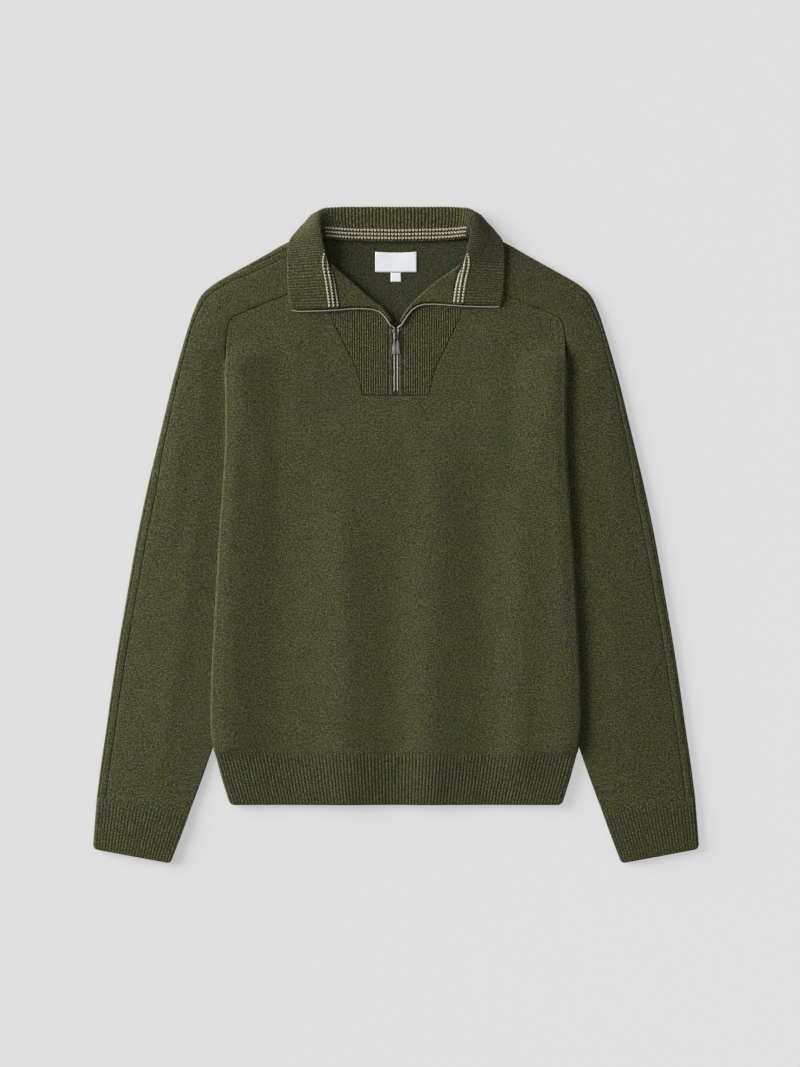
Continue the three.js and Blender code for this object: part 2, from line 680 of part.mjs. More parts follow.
function collar() {
  const outer = [];
  const inner = [];
  for (const v of [0, 0.5, 1, 1.3, 1.65, 2]) {
    const outerRow = [];
    const innerRow = [];
    for (let j = 0; j <= 4 * collarRibs.perHalf; j++) {
      const rib = j / 2 - collarRibs.perHalf;
      const point = collarPoint(rib, v);
      const normal = collarNormal(rib, v);
      const spacing = point.distanceTo(collarPoint(rib + (rib < 0 ? 0.5 : -0.5), v));
      const atFloor = v > 1.7 && point.z < 1;
      const relief = atFloor ? 0 : Math.min(collarRibs.relief, 0.25 * spacing) * (j % 2 ? 1 : -1);
      outerRow.push(point.clone().addScaledVector(normal, relief).toArray());
      innerRow.push(point.clone().addScaledVector(normal, -ribCloth).toArray());
    }
    outer.push(outerRow);
    inner.push(innerRow);
  }
  return wall(outer, thin(inner, 4));
}

// Middle line of a row of zip teeth: straight up the placket, then out along the facing and collar
const chainLine = table("x y z", [
  [1.5, 170.2, 5.4],
  [1.5, 234.0, 5.4],
  [1.55, 241.4, 5.5],
  [2.7, 243.4, 6.5],
  [6.8, 246.0, 8.3],
  [12.6, 255.3, 8.3],
  [19.2, 262.6, 8.3],
  [25.9, 265.8, 8.4],
  [32.8, 267.1, 8.5],
  [42.7, 267.4, 8.6],
  [56.2, 266.8, 8.8],
  [67.9, 265.8, 9.3],
  [81.9, 264.9, 9.6],
  [97.0, 264.4, 9.6],
  [113.5, 264.0, 9.6],
  [120.5, 265.0, 9.6],
]);
const chainWidth = 2.6;
const chainHeight = 1.8;

function zipChain(side) {
  const points = chainLine.map(({ x, y, z }) => new THREE.Vector3(x, y, z));
  const top = [];
  const bottom = [];
  points.forEach((point, i) => {
    const before = points[Math.max(i - 1, 0)];
    const after = points[Math.min(i + 1, points.length - 1)];
    const across = new THREE.Vector3(before.y - after.y, after.x - before.x, 0).normalize();
    const row = (height) =>
      [1, -1].map((way) => {
        const p = point.clone().addScaledVector(across, (way * chainWidth) / 2);
        return [side * p.x, p.y, p.z + height];
      });
    top.push(row(chainHeight / 2));
    bottom.push(row(-chainHeight / 2));
  });
  return wall(top, bottom);
}

// Slider: a plate over the teeth, wider at its head, with a bridge that holds the pull
const sliderHead = 241.6;
const sliderTail = 227.4;
const plateLow = 6.7;
const plateHigh = 7.9;
const bridge = { middle: 230.8, half: 2.7, post: 1, width: 1.8, clear: 1.75, bar: 0.9 };
const pullAxisZ = plateHigh + bridge.clear / 2;

function slider() {
  const outline = [
    [2.4, sliderTail],
    [2.9, sliderTail + 2],
    [3.0, sliderHead - 6],
    [3.9, sliderHead - 3],
    [3.7, sliderHead - 0.8],
    [2.4, sliderHead],
  ];
  const plate = toSolid(slab(mirrored(outline), plateLow, plateHigh));
  const top = plateHigh + bridge.clear + bridge.bar;
  const arch = new THREE.Shape();
  arch.moveTo(-bridge.half, plateHigh - 0.4);
  arch.lineTo(-bridge.half, top - 0.7);
  arch.lineTo(-bridge.half + 0.8, top);
  arch.lineTo(bridge.half - 0.8, top);
  arch.lineTo(bridge.half, top - 0.7);
  arch.lineTo(bridge.half, plateHigh - 0.4);
  arch.lineTo(bridge.half - bridge.post, plateHigh - 0.4);
  arch.lineTo(bridge.half - bridge.post, plateHigh + bridge.clear);
  arch.lineTo(-bridge.half + bridge.post, plateHigh + bridge.clear);
  arch.lineTo(-bridge.half + bridge.post, plateHigh - 0.4);
  const geometry = new THREE.ExtrudeGeometry(arch, { depth: bridge.width, bevelEnabled: false });
  geometry.rotateX(Math.PI / 2).rotateZ(Math.PI / 2);
  geometry.translate(-bridge.width / 2, bridge.middle, 0);
  return toGeometry(plate.add(toSolid(geometry)));
}

// Pull tab: a bar under the bridge, two arms and a tab that widens toward its end
const pull = { bar: 0.5, neck: 2.3, shoulder: 3.5, foot: 4.7, arms: 8.6, length: 19, thick: 1, droop: 4 };

function zipPull() {
  const outline = [
    [pull.neck, pull.bar],
    [pull.neck, -2],
    [pull.shoulder, -pull.arms],
    [pull.foot, -pull.length + 0.6],
    [pull.foot - 0.6, -pull.length],
  ];
  const shape = new THREE.Shape(mirrored(outline).map(([x, y]) => new THREE.Vector2(x, y)));
  const hole = mirrored([
    [pull.neck - 0.9, -pull.bar],
    [pull.neck - 0.8, -2],
    [pull.shoulder - 1.4, -pull.arms + 0.8],
  ]).reverse();
  shape.holes.push(new THREE.Path(hole.map(([x, y]) => new THREE.Vector2(x, y))));
  const geometry = new THREE.ExtrudeGeometry(shape, { depth: pull.thick, bevelEnabled: false });
  geometry.translate(0, 0, -pull.thick / 2);
  geometry.rotateX(THREE.MathUtils.degToRad(pull.droop));
  return geometry.translate(0, bridge.middle, pullAxisZ);
}

const rectangle = (halfWidth, low, high) => mirrored([
  [halfWidth, low],
  [halfWidth, high],
]);

const labelLow = plainCloth - 0.1 + layerGap;

add("back_panel", backPanel(), wool);
add("front_panel", frontPanel(), wool);
add("hem_rib_back", hemBack(), rib);
add("hem_rib_front", hemFront(), rib);
addPair("sleeve", sleeve, wool);
addPair("cuff", cuff, rib);
addPair("placket", placket, rib);
addPair("lapel", lapel, wool);
add("collar", collar(), rib);
addPair("zip_chain", zipChain, metal);
add("zip_stop", slab(rectangle(2.8, zipStopY, 169.8), 4.4, 6.9), metal);
add("zip_slider", slider(), metal);
add("zip_pull", zipPull(), metal);
add("neck_label", slab(rectangle(24.3, 308.1, 332.0), labelLow, labelLow + 0.6), labelCloth);
add("size_tab", slab(rectangle(6.1, 296.8, 307.8), labelLow, labelLow + 0.5), labelCloth);

export default garment;
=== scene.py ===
# Looks of a heather green quarter zip sweater that lies flat on its back.
# Sizes are in millimetres in the tables, and become metres where a mesh is made.
import math
import bmesh
import bpy
import numpy as np
from mathutils import Matrix, Vector, noise


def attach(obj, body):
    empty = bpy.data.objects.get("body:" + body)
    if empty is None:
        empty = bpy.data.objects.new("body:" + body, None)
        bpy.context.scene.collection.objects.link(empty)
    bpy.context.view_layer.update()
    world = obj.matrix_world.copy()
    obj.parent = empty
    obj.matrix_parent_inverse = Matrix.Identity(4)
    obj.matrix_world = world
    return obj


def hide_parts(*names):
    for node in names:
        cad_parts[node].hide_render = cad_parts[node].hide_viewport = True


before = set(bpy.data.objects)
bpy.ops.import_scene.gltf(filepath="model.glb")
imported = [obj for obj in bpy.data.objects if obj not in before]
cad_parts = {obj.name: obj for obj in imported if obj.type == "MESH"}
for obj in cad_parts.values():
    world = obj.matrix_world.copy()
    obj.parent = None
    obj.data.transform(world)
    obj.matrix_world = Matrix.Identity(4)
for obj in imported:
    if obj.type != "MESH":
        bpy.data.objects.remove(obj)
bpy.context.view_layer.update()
metre = 0.001  # metres in a millimetre
print("stage: frame loaded,", len(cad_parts), "nodes")

cloth = {
    "plain": 2.5,  # thickness of the plain knit
    "back": 2.4,
    "rib": 3.0,
    "facing": 2.3,
    "seamGap": 0.4,
    "seamLap": 0.7,  # how far the back reaches under the sleeve's edge, so that no light comes through
    "layerGap": 0.3,
    "rim": 0.95,  # radius of the soft edge of a panel
}
body = {
    "hemTopY": -253.8,
    "hemBottomY": -315.5,
    "neckTop": 6.2,
    "sideTop": 13.7,
    "sideCrest": 0.9,  # how much higher the front is a little further in
    "sideRoll": 4.1,
    "sideCurl": 60,  # degrees that the rolled edge turns on under itself
    "leastInside": 0.15,  # a roll with a smaller radius inside has a flat inner face
    "backNeckY": 349.5,
    "across": 62,  # columns on each side of the placket
    "lump": 0.35,  # how uneven the lie of the cloth is
}


# Numbers and curves

def columnsOf(names, rows):
    return dict(zip(names.split(), np.array(rows, dtype=float).T))


def smooth(start, end, value):
    t = np.clip((np.asarray(value, dtype=float) - start) / (end - start), 0, 1)
    return t * t * (3 - 2 * t)


def mix(a, b, t):
    return a + (b - a) * t


def curveThrough(xs, ys):
    # a smooth curve that never overshoots its points
    xs = np.asarray(xs, dtype=float)
    ys = np.asarray(ys, dtype=float)
    slopes = np.diff(ys) / np.diff(xs)
    tangents = np.empty_like(ys)
    tangents[0] = slopes[0]
    tangents[-1] = slopes[-1]
    before, after = slopes[:-1], slopes[1:]
    total = np.where(before + after == 0, 1, before + after)
    tangents[1:-1] = np.where(before * after <= 0, 0, 2 * before * after / total)

    def at(value):
        x = np.clip(value, xs[0], xs[-1])
        i = np.clip(np.searchsorted(xs, x, side="right") - 1, 0, len(xs) - 2)
        width = xs[i + 1] - xs[i]
        t = (x - xs[i]) / width
        return (
            ys[i] * (1 + 2 * t) * (1 - t) ** 2
            + tangents[i] * width * t * (1 - t) ** 2
            + ys[i + 1] * t * t * (3 - 2 * t)
            + tangents[i + 1] * width * t * t * (t - 1)
        )

    return at


def closeAtEnds(count, length, radius):
    # shares from 0 to 1 that lie closer together near both ends
    near = radius / length * np.array([0, 0.13, 0.5])
    return np.concatenate([near, np.linspace(radius / length, 1 - radius / length, count), 1 - near[::-1]])


def lumps(points, seed, sizes=((60, 1.0), (22, 0.45), (9, 0.18))):
    flat = points.reshape(-1, 3)
    total = np.zeros(len(flat))
    for size, share in sizes:
        total += share * np.array([noise.noise((x / size, y / size, seed)) for x, y, _ in flat])
    return total.reshape(points.shape[:-1])


def distanceToLine(points, line):
    best = np.full(points.shape[:-1], 1e9)
    for a, b in zip(line[:-1], line[1:]):
        a, b = np.array(a), np.array(b)
        t = np.clip(((points - a) @ (b - a)) / ((b - a) @ (b - a)), 0, 1)
        best = np.minimum(best, np.linalg.norm(points - (a + t[..., None] * (b - a)), axis=-1))
    return best


everyRim = (True, True, True, True)  # first row, last row, first column and last column
butFirstRow = (False, True, True, True)
thinnest = 0.12  # thickness of a wall at its very rim, as a share of the whole


def runLengths(points, axis=0):
    # how far each point lies from the first one, along one axis of a grid
    steps = np.linalg.norm(np.diff(points, axis=axis), axis=-1)
    first = np.zeros_like(np.take(steps, [0], axis))
    return np.concatenate([first, np.cumsum(steps, axis=axis)], axis=axis)


def rimDistance(grid, ends=everyRim):
    # how far each point of a grid lies from the rims that are given
    best = np.full(grid.shape[:2], 1e9)
    for axis in (0, 1):
        run = runLengths(grid, axis)
        if ends[2 * axis]:
            best = np.minimum(best, run)
        if ends[2 * axis + 1]:
            best = np.minimum(best, np.take(run, [-1], axis) - run)
    return best


def pinch(outer, inner, distance, radius):
    # the wall closes in a half round toward its rim
    middle, half = (outer + inner) / 2, (outer - inner) / 2
    share = np.sqrt(np.clip(1 - (1 - np.clip(distance / radius, 0, 1)) ** 2, 0, 1))
    share = np.maximum(share, thinnest)[..., None]
    return middle + half * share, middle - half * share


def onSide(side, *grids):
    for grid in grids:
        grid[..., 0] *= side


# Meshes

def addObject(name, data):
    item = bpy.data.objects.new(name, data)
    bpy.context.scene.collection.objects.link(item)
    return item


def meshFrom(name, points, faces, uvs=None):
    mesh = bpy.data.meshes.new(name)
    mesh.vertices.add(len(points))
    mesh.vertices.foreach_set("co", (np.asarray(points, dtype=np.float32) * metre).ravel())
    mesh.loops.add(faces.size)
    mesh.loops.foreach_set("vertex_index", faces.ravel())
    mesh.polygons.add(len(faces))
    mesh.polygons.foreach_set("loop_start", np.arange(0, faces.size, faces.shape[1]))
    mesh.polygons.foreach_set("use_smooth", np.ones(len(faces), dtype=bool))
    if uvs is not None:
        layer = mesh.uv_layers.new(name="Cloth")
        layer.data.foreach_set("uv", (uvs[faces.ravel()] * metre).astype(np.float32).ravel())
    mesh.update(calc_edges=True)
    mesh.validate()
    return addObject(name, mesh)


def signedVolume(points, faces):
    a, b, c, d = (points[faces[:, k]] for k in range(4))
    return np.einsum("ij,ij->", a, np.cross(b, c)) + np.einsum("ij,ij->", a, np.cross(c, d))


def makeWall(name, outer, inner, uv, kept=None):
    # outer and inner are grids of points; kept says which cells of the grid are cloth
    rows, columns = outer.shape[:2]
    if kept is None:
        kept = np.ones((rows - 1, columns - 1), dtype=bool)
    index = np.arange(rows * columns).reshape(rows, columns)
    cells = np.stack([index[:-1, :-1], index[:-1, 1:], index[1:, 1:], index[1:, :-1]], axis=-1)
    front = cells[kept]
    back = front[:, ::-1] + rows * columns
    edges = {}
    for k in range(4):
        for a, b in zip(front[:, k], front[:, (k + 1) % 4]):
            if edges.pop((b, a), None) is None:
                edges[(a, b)] = True
    shift = rows * columns
    rims = np.array([[b, a, a + shift, b + shift] for a, b in edges])
    faces = np.concatenate([front, back, rims])
    points = np.concatenate([outer.reshape(-1, 3), inner.reshape(-1, 3)])
    uvs = np.concatenate([uv.reshape(-1, 2)] * 2)
    used, faces = np.unique(faces, return_inverse=True)
    faces = faces.reshape(-1, 4)
    points, uvs = points[used], uvs[used]
    if signedVolume(points, faces) < 0:
        faces = faces[:, ::-1].copy()
    return meshFrom(name, points, faces, uvs)


def normalsOf(grid):
    across = np.gradient(grid, axis=1)
    along = np.gradient(grid, axis=0)
    normal = np.cross(across, along)
    return normal / np.maximum(np.linalg.norm(normal, axis=-1, keepdims=True), 1e-9)


# Materials

def newGroup(name, inputs, outputs):
    group = bpy.data.node_groups.new(name, "ShaderNodeTree")
    for label, kind, value in inputs:
        socket = group.interface.new_socket(label, in_out="INPUT", socket_type=kind)
        if value is not None:
            socket.default_value = value
    for label, kind in outputs:
        group.interface.new_socket(label, in_out="OUTPUT", socket_type=kind)
    return group, group.nodes.new("NodeGroupInput"), group.nodes.new("NodeGroupOutput")


def place(tree, kind, links=(), **settings):
    # adds a node, sets its properties and input values, and links what feeds it
    node = tree.nodes.new(kind)
    for key, value in settings.items():
        if hasattr(node, key):
            setattr(node, key, value)
        else:
            node.inputs[key].default_value = value
    for socket, source in dict(links).items():
        tree.links.new(source, node.inputs[socket])
    return node


def sumNode(tree, operation, *values):
    node = tree.nodes.new("ShaderNodeMath")
    node.operation = operation
    for k, value in enumerate(values):
        if isinstance(value, (int, float)):
            node.inputs[k].default_value = value
        else:
            tree.links.new(value, node.inputs[k])
    return node.outputs[0]


def clothMap(tree):
    return place(tree, "ShaderNodeUVMap", uv_map="Cloth").outputs[0]


def objectPoint(tree):
    return place(tree, "ShaderNodeTexCoord").outputs["Object"]


def partOf(tree, vector, axis):
    return place(tree, "ShaderNodeSeparateXYZ", {0: vector}).outputs[axis]


def shareBetween(tree, value, low, high, easing="LINEAR"):
    # 0 where the value is low and 1 where it is high
    ends = {"From Min": low, "From Max": high}
    return place(tree, "ShaderNodeMapRange", {"Value": value}, interpolation_type=easing, **ends).outputs[0]


def toneBetween(tree, share, first, last):
    # a colour that goes from the first to the last as the share grows from 0 to 1
    tone = place(tree, "ShaderNodeMix", {"Factor": share}, data_type="RGBA")
    tone.inputs[6].default_value = (*first, 1)
    tone.inputs[7].default_value = (*last, 1)
    return tone.outputs[2]


def knitStitchGroup():
    # columns of V shaped stitches on the cloth's own map, which is in metres
    tree, given, result = newGroup(
        "knit stitch",
        [
            ("Wale", "NodeSocketFloat", 0.0024),
            ("Course", "NodeSocketFloat", 0.0019),
            ("Slant", "NodeSocketFloat", 0.9),
            ("Split", "NodeSocketFloat", 1.0),  # how deep the middle of the V is
            ("Stray", "NodeSocketFloat", 0.5),
        ],
        [("Height", "NodeSocketFloat"), ("Groove", "NodeSocketFloat")],
    )
    uv = clothMap(tree)
    wobble = place(tree, "ShaderNodeTexNoise", {"Vector": uv}, Scale=260.0, Detail=1.0)
    stray = sumNode(tree, "SUBTRACT", wobble.outputs[0], 0.5)
    stray = sumNode(tree, "MULTIPLY", stray, given.outputs["Stray"])
    x, y = (
        sumNode(tree, "ADD", sumNode(tree, "DIVIDE", partOf(tree, uv, axis), given.outputs[size]), stray)
        for axis, size in enumerate(("Wale", "Course"))
    )
    fromMiddle = sumNode(tree, "ABSOLUTE", sumNode(tree, "SUBTRACT", sumNode(tree, "FRACT", x), 0.5))
    leaning = sumNode(tree, "MULTIPLY", fromMiddle, given.outputs["Slant"])
    turns = sumNode(tree, "MULTIPLY", sumNode(tree, "ADD", y, leaning), math.pi)
    wave = sumNode(tree, "POWER", sumNode(tree, "ABSOLUTE", sumNode(tree, "SINE", turns)), 0.6)
    legs = sumNode(tree, "SINE", sumNode(tree, "MULTIPLY", fromMiddle, 2 * math.pi))
    legs = sumNode(tree, "POWER", legs, 0.7)
    ridge = sumNode(tree, "COSINE", sumNode(tree, "MULTIPLY", fromMiddle, math.pi))
    shape = place(tree, "ShaderNodeMix", {"Factor": given.outputs["Split"], 2: ridge, 3: legs})
    tree.links.new(sumNode(tree, "MULTIPLY", wave, shape.outputs[0]), result.inputs["Height"])
    # a mask of the grooves between ribs, where shade is painted into the colour
    tree.links.new(shareBetween(tree, fromMiddle, 0.24, 0.46, "SMOOTHSTEP"), result.inputs["Groove"])
    return tree


def tinted(tree, color, tint, point, scale, low, high, offset):
    # mixes a tint into a colour in patches, where a noise of its own lies between low and high
    moved = place(tree, "ShaderNodeMapping", {"Vector": point}, Location=(offset, offset, 0))
    spread = {"Scale": scale, "Detail": 2.0, "Roughness": 0.6}
    patch = place(tree, "ShaderNodeTexNoise", {"Vector": moved.outputs[0]}, **spread)
    share = shareBetween(tree, patch.outputs[0], low, high)
    return place(tree, "ShaderNodeMix", {"Factor": share, 6: color, 7: tint}, data_type="RGBA").outputs[2]


def heatherGroup():
    # yarn spun from fibres of several colours: mottled at three scales, with rarer flecks
    tree, given, result = newGroup(
        "heather yarn",
        [
            ("Base", "NodeSocketColor", (0.06, 0.066, 0.026, 1)),
            ("Light", "NodeSocketColor", (0.16, 0.165, 0.06, 1)),
            ("Rust", "NodeSocketColor", (0.13, 0.06, 0.022, 1)),
            ("Grey", "NodeSocketColor", (0.16, 0.155, 0.12, 1)),
            ("Moss", "NodeSocketColor", (0.07, 0.08, 0.02, 1)),
            ("Slate", "NodeSocketColor", (0.055, 0.062, 0.042, 1)),
            ("Bark", "NodeSocketColor", (0.075, 0.06, 0.03, 1)),
            ("Fine", "NodeSocketFloat", 1.3),
            ("Middle", "NodeSocketFloat", 1.2),
            ("Clouds", "NodeSocketFloat", 0.5),
            ("Darkest", "NodeSocketFloat", 0.46),  # the least share of its colour that a fibre has
            ("Pale From", "NodeSocketFloat", 0.6),  # fibres brighter than this are less yellow too
            ("Paleness", "NodeSocketFloat", 0.009),
        ],
        [("Color", "NodeSocketColor"), ("Fleck", "NodeSocketFloat")],
    )
    uv = clothMap(tree)
    stretched = place(tree, "ShaderNodeMapping", {"Vector": uv}, Scale=(0.95, 1.0, 1.0)).outputs[0]
    gain = 1.0
    for label, point, scale, detail, roughness in (
        ("Fine", stretched, 720.0, 1.0, 0.5),
        ("Middle", stretched, 330.0, 1.0, 0.6),
        ("Clouds", uv, 52.0, 3.0, 0.6),
    ):
        spread = {"Scale": scale, "Detail": detail, "Roughness": roughness}
        grain = place(tree, "ShaderNodeTexNoise", {"Vector": point}, **spread).outputs[0]
        swing = sumNode(tree, "MULTIPLY", sumNode(tree, "SUBTRACT", grain, 0.5), given.outputs[label])
        gain = sumNode(tree, "ADD", swing, gain)
        if label == "Fine":
            tree.links.new(grain, result.inputs["Fleck"])
    gain = sumNode(tree, "MAXIMUM", gain, given.outputs["Darkest"])
    color = given.outputs["Base"]
    for label, scale, low, high, offset in (
        ("Moss", 95.0, 0.50, 0.72, 41.0),
        ("Slate", 80.0, 0.52, 0.72, 57.0),
        ("Bark", 70.0, 0.54, 0.74, 73.0),
    ):
        color = tinted(tree, color, given.outputs[label], uv, scale, low, high, offset)
    scaled = place(tree, "ShaderNodeVectorMath", {0: color, 1: gain}, operation="MULTIPLY")
    bright = sumNode(tree, "MAXIMUM", sumNode(tree, "SUBTRACT", gain, given.outputs["Pale From"]), 0.0)
    blue = place(tree, "ShaderNodeCombineXYZ", {
        "Z": sumNode(tree, "MULTIPLY", bright, given.outputs["Paleness"]),
    })
    paler = place(tree, "ShaderNodeVectorMath", {0: scaled.outputs[0], 1: blue.outputs[0]}, operation="ADD")
    color = paler.outputs[0]
    for label, scale, low, high, offset in (
        ("Light", 560.0, 0.57, 0.70, 3.1),
        ("Rust", 380.0, 0.60, 0.74, 11.7),
        ("Grey", 470.0, 0.62, 0.74, 23.3),
    ):
        color = tinted(tree, color, given.outputs[label], stretched, scale, low, high, offset)
    tree.links.new(color, result.inputs["Color"])
    return tree


knitStitch = knitStitchGroup()
heather = heatherGroup()


def useGroup(tree, group, **values):
    node = tree.nodes.new("ShaderNodeGroup")
    node.node_tree = group
    for label, value in values.items():
        node.inputs[label].default_value = value
    return node


def blankMaterial(name, color, roughness, metallic=0.0):
    material = bpy.data.materials.new(name)
    material.use_nodes = True
    tree = material.node_tree
    shader = tree.nodes["Principled BSDF"]
    shader.inputs["Base Color"].default_value = (*color, 1)
    shader.inputs["Roughness"].default_value = roughness
    shader.inputs["Metallic"].default_value = metallic
    return material, tree, shader


def surfaceOf(tree, shader, tone, height, distance):
    # links a colour that varies and a fine relief, which is in metres
    if tone:
        tree.links.new(tone, shader.inputs["Base Color"])
    bump = place(tree, "ShaderNodeBump", {"Height": height}, Distance=distance)
    tree.links.new(bump.outputs[0], shader.inputs["Normal"])


wool = {
    "base": (0.0500, 0.0538, 0.0114),
    "light": (0.165, 0.170, 0.092),
    "rust": (0.090, 0.060, 0.026),
    "grey": (0.160, 0.158, 0.110),
    "moss": (0.057, 0.066, 0.014),
    "slate": (0.048, 0.053, 0.024),
    "bark": (0.062, 0.050, 0.023),
    "fine": 9.2,
    "middle": 2.8,
    "clouds": 0.9,
    "rough": 0.92,
    "gloss": 0.2,
    "sheen": 0.2,
    "sheenRough": 0.55,
    "sheenTint": (0.62, 0.65, 0.44),
    "relief": 0.0004,  # height of a stitch, in metres
    "fuzz": 0.00025,
}
woolTints = ("base", "light", "rust", "grey", "moss", "slate", "bark")


def woolMaterial(name, wale, course, gain=1.0, split=1.0, groove=0.0, fade=0.0, swing=0.45):
    # fade is how far from the seam, on the cloth's own map, the painted shade in the grooves takes to show
    # in full
    material, tree, shader = blankMaterial(name, wool["base"], wool["rough"])
    tint = {key.capitalize(): (*[c * gain for c in wool[key]], 1) for key in woolTints}
    yarn = useGroup(tree, heather, Fine=wool["fine"], Middle=wool["middle"], Clouds=wool["clouds"], **tint)
    stitch = useGroup(tree, knitStitch, Wale=wale, Course=course, Split=split, Stray=0.5 * split + 0.08)
    # the colour is darker in the low parts of each stitch and brighter on its legs: painted shade, swing
    # sets how much
    shade = sumNode(tree, "MULTIPLY", stitch.outputs["Height"], swing)
    shade = sumNode(tree, "ADD", shade, 0.98 - 0.62 * swing)  # about as bright for any swing
    # groove darkens the colour in the grooves between ribs: painted shade
    if groove:
        dark = sumNode(tree, "MULTIPLY", stitch.outputs["Groove"], groove)
        if fade:
            fromSeam = sumNode(tree, "ABSOLUTE", partOf(tree, clothMap(tree), 1))
            shown = shareBetween(tree, fromSeam, 0.15 * fade, fade, "SMOOTHSTEP")
            dark = sumNode(tree, "MULTIPLY", dark, shown)
        shade = sumNode(tree, "MULTIPLY", shade, sumNode(tree, "SUBTRACT", 1.0, dark))
    lit = place(tree, "ShaderNodeVectorMath", {0: yarn.outputs["Color"], 1: shade}, operation="MULTIPLY")
    tree.links.new(lit.outputs[0], shader.inputs["Base Color"])
    fleck = {"Height": yarn.outputs["Fleck"]}
    hairs = place(tree, "ShaderNodeBump", fleck, Distance=wool["fuzz"], Strength=1.0)
    bump = place(tree, "ShaderNodeBump", {"Height": stitch.outputs["Height"], "Normal": hairs.outputs[0]})
    bump.inputs["Distance"].default_value = wool["relief"]
    tree.links.new(bump.outputs[0], shader.inputs["Normal"])
    shader.inputs["Sheen Weight"].default_value = wool["sheen"]
    shader.inputs["Sheen Roughness"].default_value = wool["sheenRough"]
    shader.inputs["Sheen Tint"].default_value = (*wool["sheenTint"], 1)
    shader.inputs["Specular IOR Level"].default_value = wool["gloss"]
    return material


knitCloth = woolMaterial("plain knit", 0.0024, 0.0019)
# the back panel, seen inside the neck, is the same yarn made darker by gain 0.65: painted shade of the
# neck's hollow
shadedInsideCloth = woolMaterial("plain knit inside painted shade", 0.0024, 0.0019, gain=0.65)
# groove is how much painted shade darkens the grooves between the ribs
bodyRib = woolMaterial("hem rib", 0.0041, 0.0030, gain=0.87, split=0.2, groove=0.16, fade=0.008, swing=0.26)
cuffRib = woolMaterial("cuff rib", 0.0041, 0.0030, gain=0.85, split=0.2, groove=0.06, fade=0.011, swing=0.24)
collarRib = woolMaterial("collar rib", 0.0033, 0.0027, gain=1.00, split=0.2, groove=0.28, swing=0.26)
placketRib = woolMaterial("placket rib", 0.00275, 0.0024, gain=1.04, split=0.2, groove=0.26, swing=0.36)


def creamMaterial():
    material, tree, shader = blankMaterial("cream yarn", (0.62, 0.57, 0.42), 0.85)
    grain = place(tree, "ShaderNodeTexNoise", {"Vector": objectPoint(tree)}, Scale=1500.0, Detail=2.0)
    tone = toneBetween(tree, grain.outputs[0], (0.46, 0.40, 0.26), (0.86, 0.80, 0.63))
    surfaceOf(tree, shader, tone, grain.outputs[0], 0.0002)
    shader.inputs["Sheen Weight"].default_value = 0.3
    return material


def metalMaterial(name, color, roughness, scratch, metallic, darkMiddle=None, half=0.001):
    # a darker colour can run down the middle, half of it this wide: on the pull it is painted shade in the
    # gap between its two rails, on the slider it is the dark colour of its body
    material, tree, shader = blankMaterial(name, color, roughness, metallic)
    point = objectPoint(tree)
    tone = None
    if darkMiddle:
        fromMiddle = sumNode(tree, "ABSOLUTE", partOf(tree, point, 0))
        share = shareBetween(tree, fromMiddle, 0.7 * half, 1.3 * half, "SMOOTHSTEP")
        tone = toneBetween(tree, share, darkMiddle, color)
    wear = place(tree, "ShaderNodeTexNoise", {"Vector": point}, Scale=scratch, Detail=4.0)
    ends = {"To Min": roughness * 0.7, "To Max": roughness * 1.4}
    dull = place(tree, "ShaderNodeMapRange", {"Value": wear.outputs[0]}, **ends)
    tree.links.new(dull.outputs[0], shader.inputs["Roughness"])
    surfaceOf(tree, shader, tone, wear.outputs[0], 0.00004)
    return material


def satinMaterial():
    # a white woven label: fine warp lines across its own map
    material, tree, shader = blankMaterial("woven label", (0.93, 0.94, 0.96), 0.5)
    weave = place(tree, "ShaderNodeTexWave", {"Vector": clothMap(tree)}, Scale=900.0, Distortion=0.6)
    warp = weave.outputs["Fac"]
    surfaceOf(tree, shader, toneBetween(tree, warp, (0.86, 0.88, 0.91), (0.95, 0.96, 0.98)), warp, 0.00005)
    shader.inputs["Sheen Weight"].default_value = 0.15
    return material


def tapeMaterial(name, dark, light):
    # woven zip tape, with its fine cords across
    material, tree, shader = blankMaterial(name, light, 0.7)
    point = objectPoint(tree)
    weave = place(tree, "ShaderNodeTexNoise", {"Vector": point}, Scale=1300.0, Detail=2.0)
    cords = place(tree, "ShaderNodeTexWave", {"Vector": point}, Scale=420.0, Distortion=1.5)
    mask = sumNode(tree, "MULTIPLY", weave.outputs[0], sumNode(tree, "ADD", cords.outputs["Fac"], 0.6))
    surfaceOf(tree, shader, toneBetween(tree, mask, dark, light), mask, 0.0001)
    return material


creamYarn = creamMaterial()
toothMetal = metalMaterial("zip teeth metal", (0.66, 0.64, 0.61), 0.42, 900.0, 0.45)
sliderMetal = metalMaterial("slider metal", (0.32, 0.29, 0.27), 0.3, 500.0, 0.6, (0.05, 0.026, 0.02), 0.0014)
# the pull's dark middle is painted shade in the gap between its rails
pullMetal = metalMaterial("pull metal", (0.36, 0.34, 0.34), 0.32, 700.0, 0.6, (0.045, 0.04, 0.042), 0.0006)
labelSatin = satinMaterial()
darkTape = tapeMaterial("dark zip tape", (0.012, 0.010, 0.008), (0.05, 0.04, 0.032))
paleTape = tapeMaterial("pale zip piping", (0.20, 0.16, 0.115), (0.50, 0.425, 0.33))
print("stage: materials made")


def dress(item, material, slot, *nodes, rides="garment"):
    # gives a finished piece its material and its body, and hides the CAD pieces that it stands for
    item.data.materials.clear()
    item.data.materials.append(material)
    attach(item, rides)
    if nodes:
        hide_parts(*nodes)
    return item


# Sleeves: sections from the cuff seam up to the neck, as the part has them

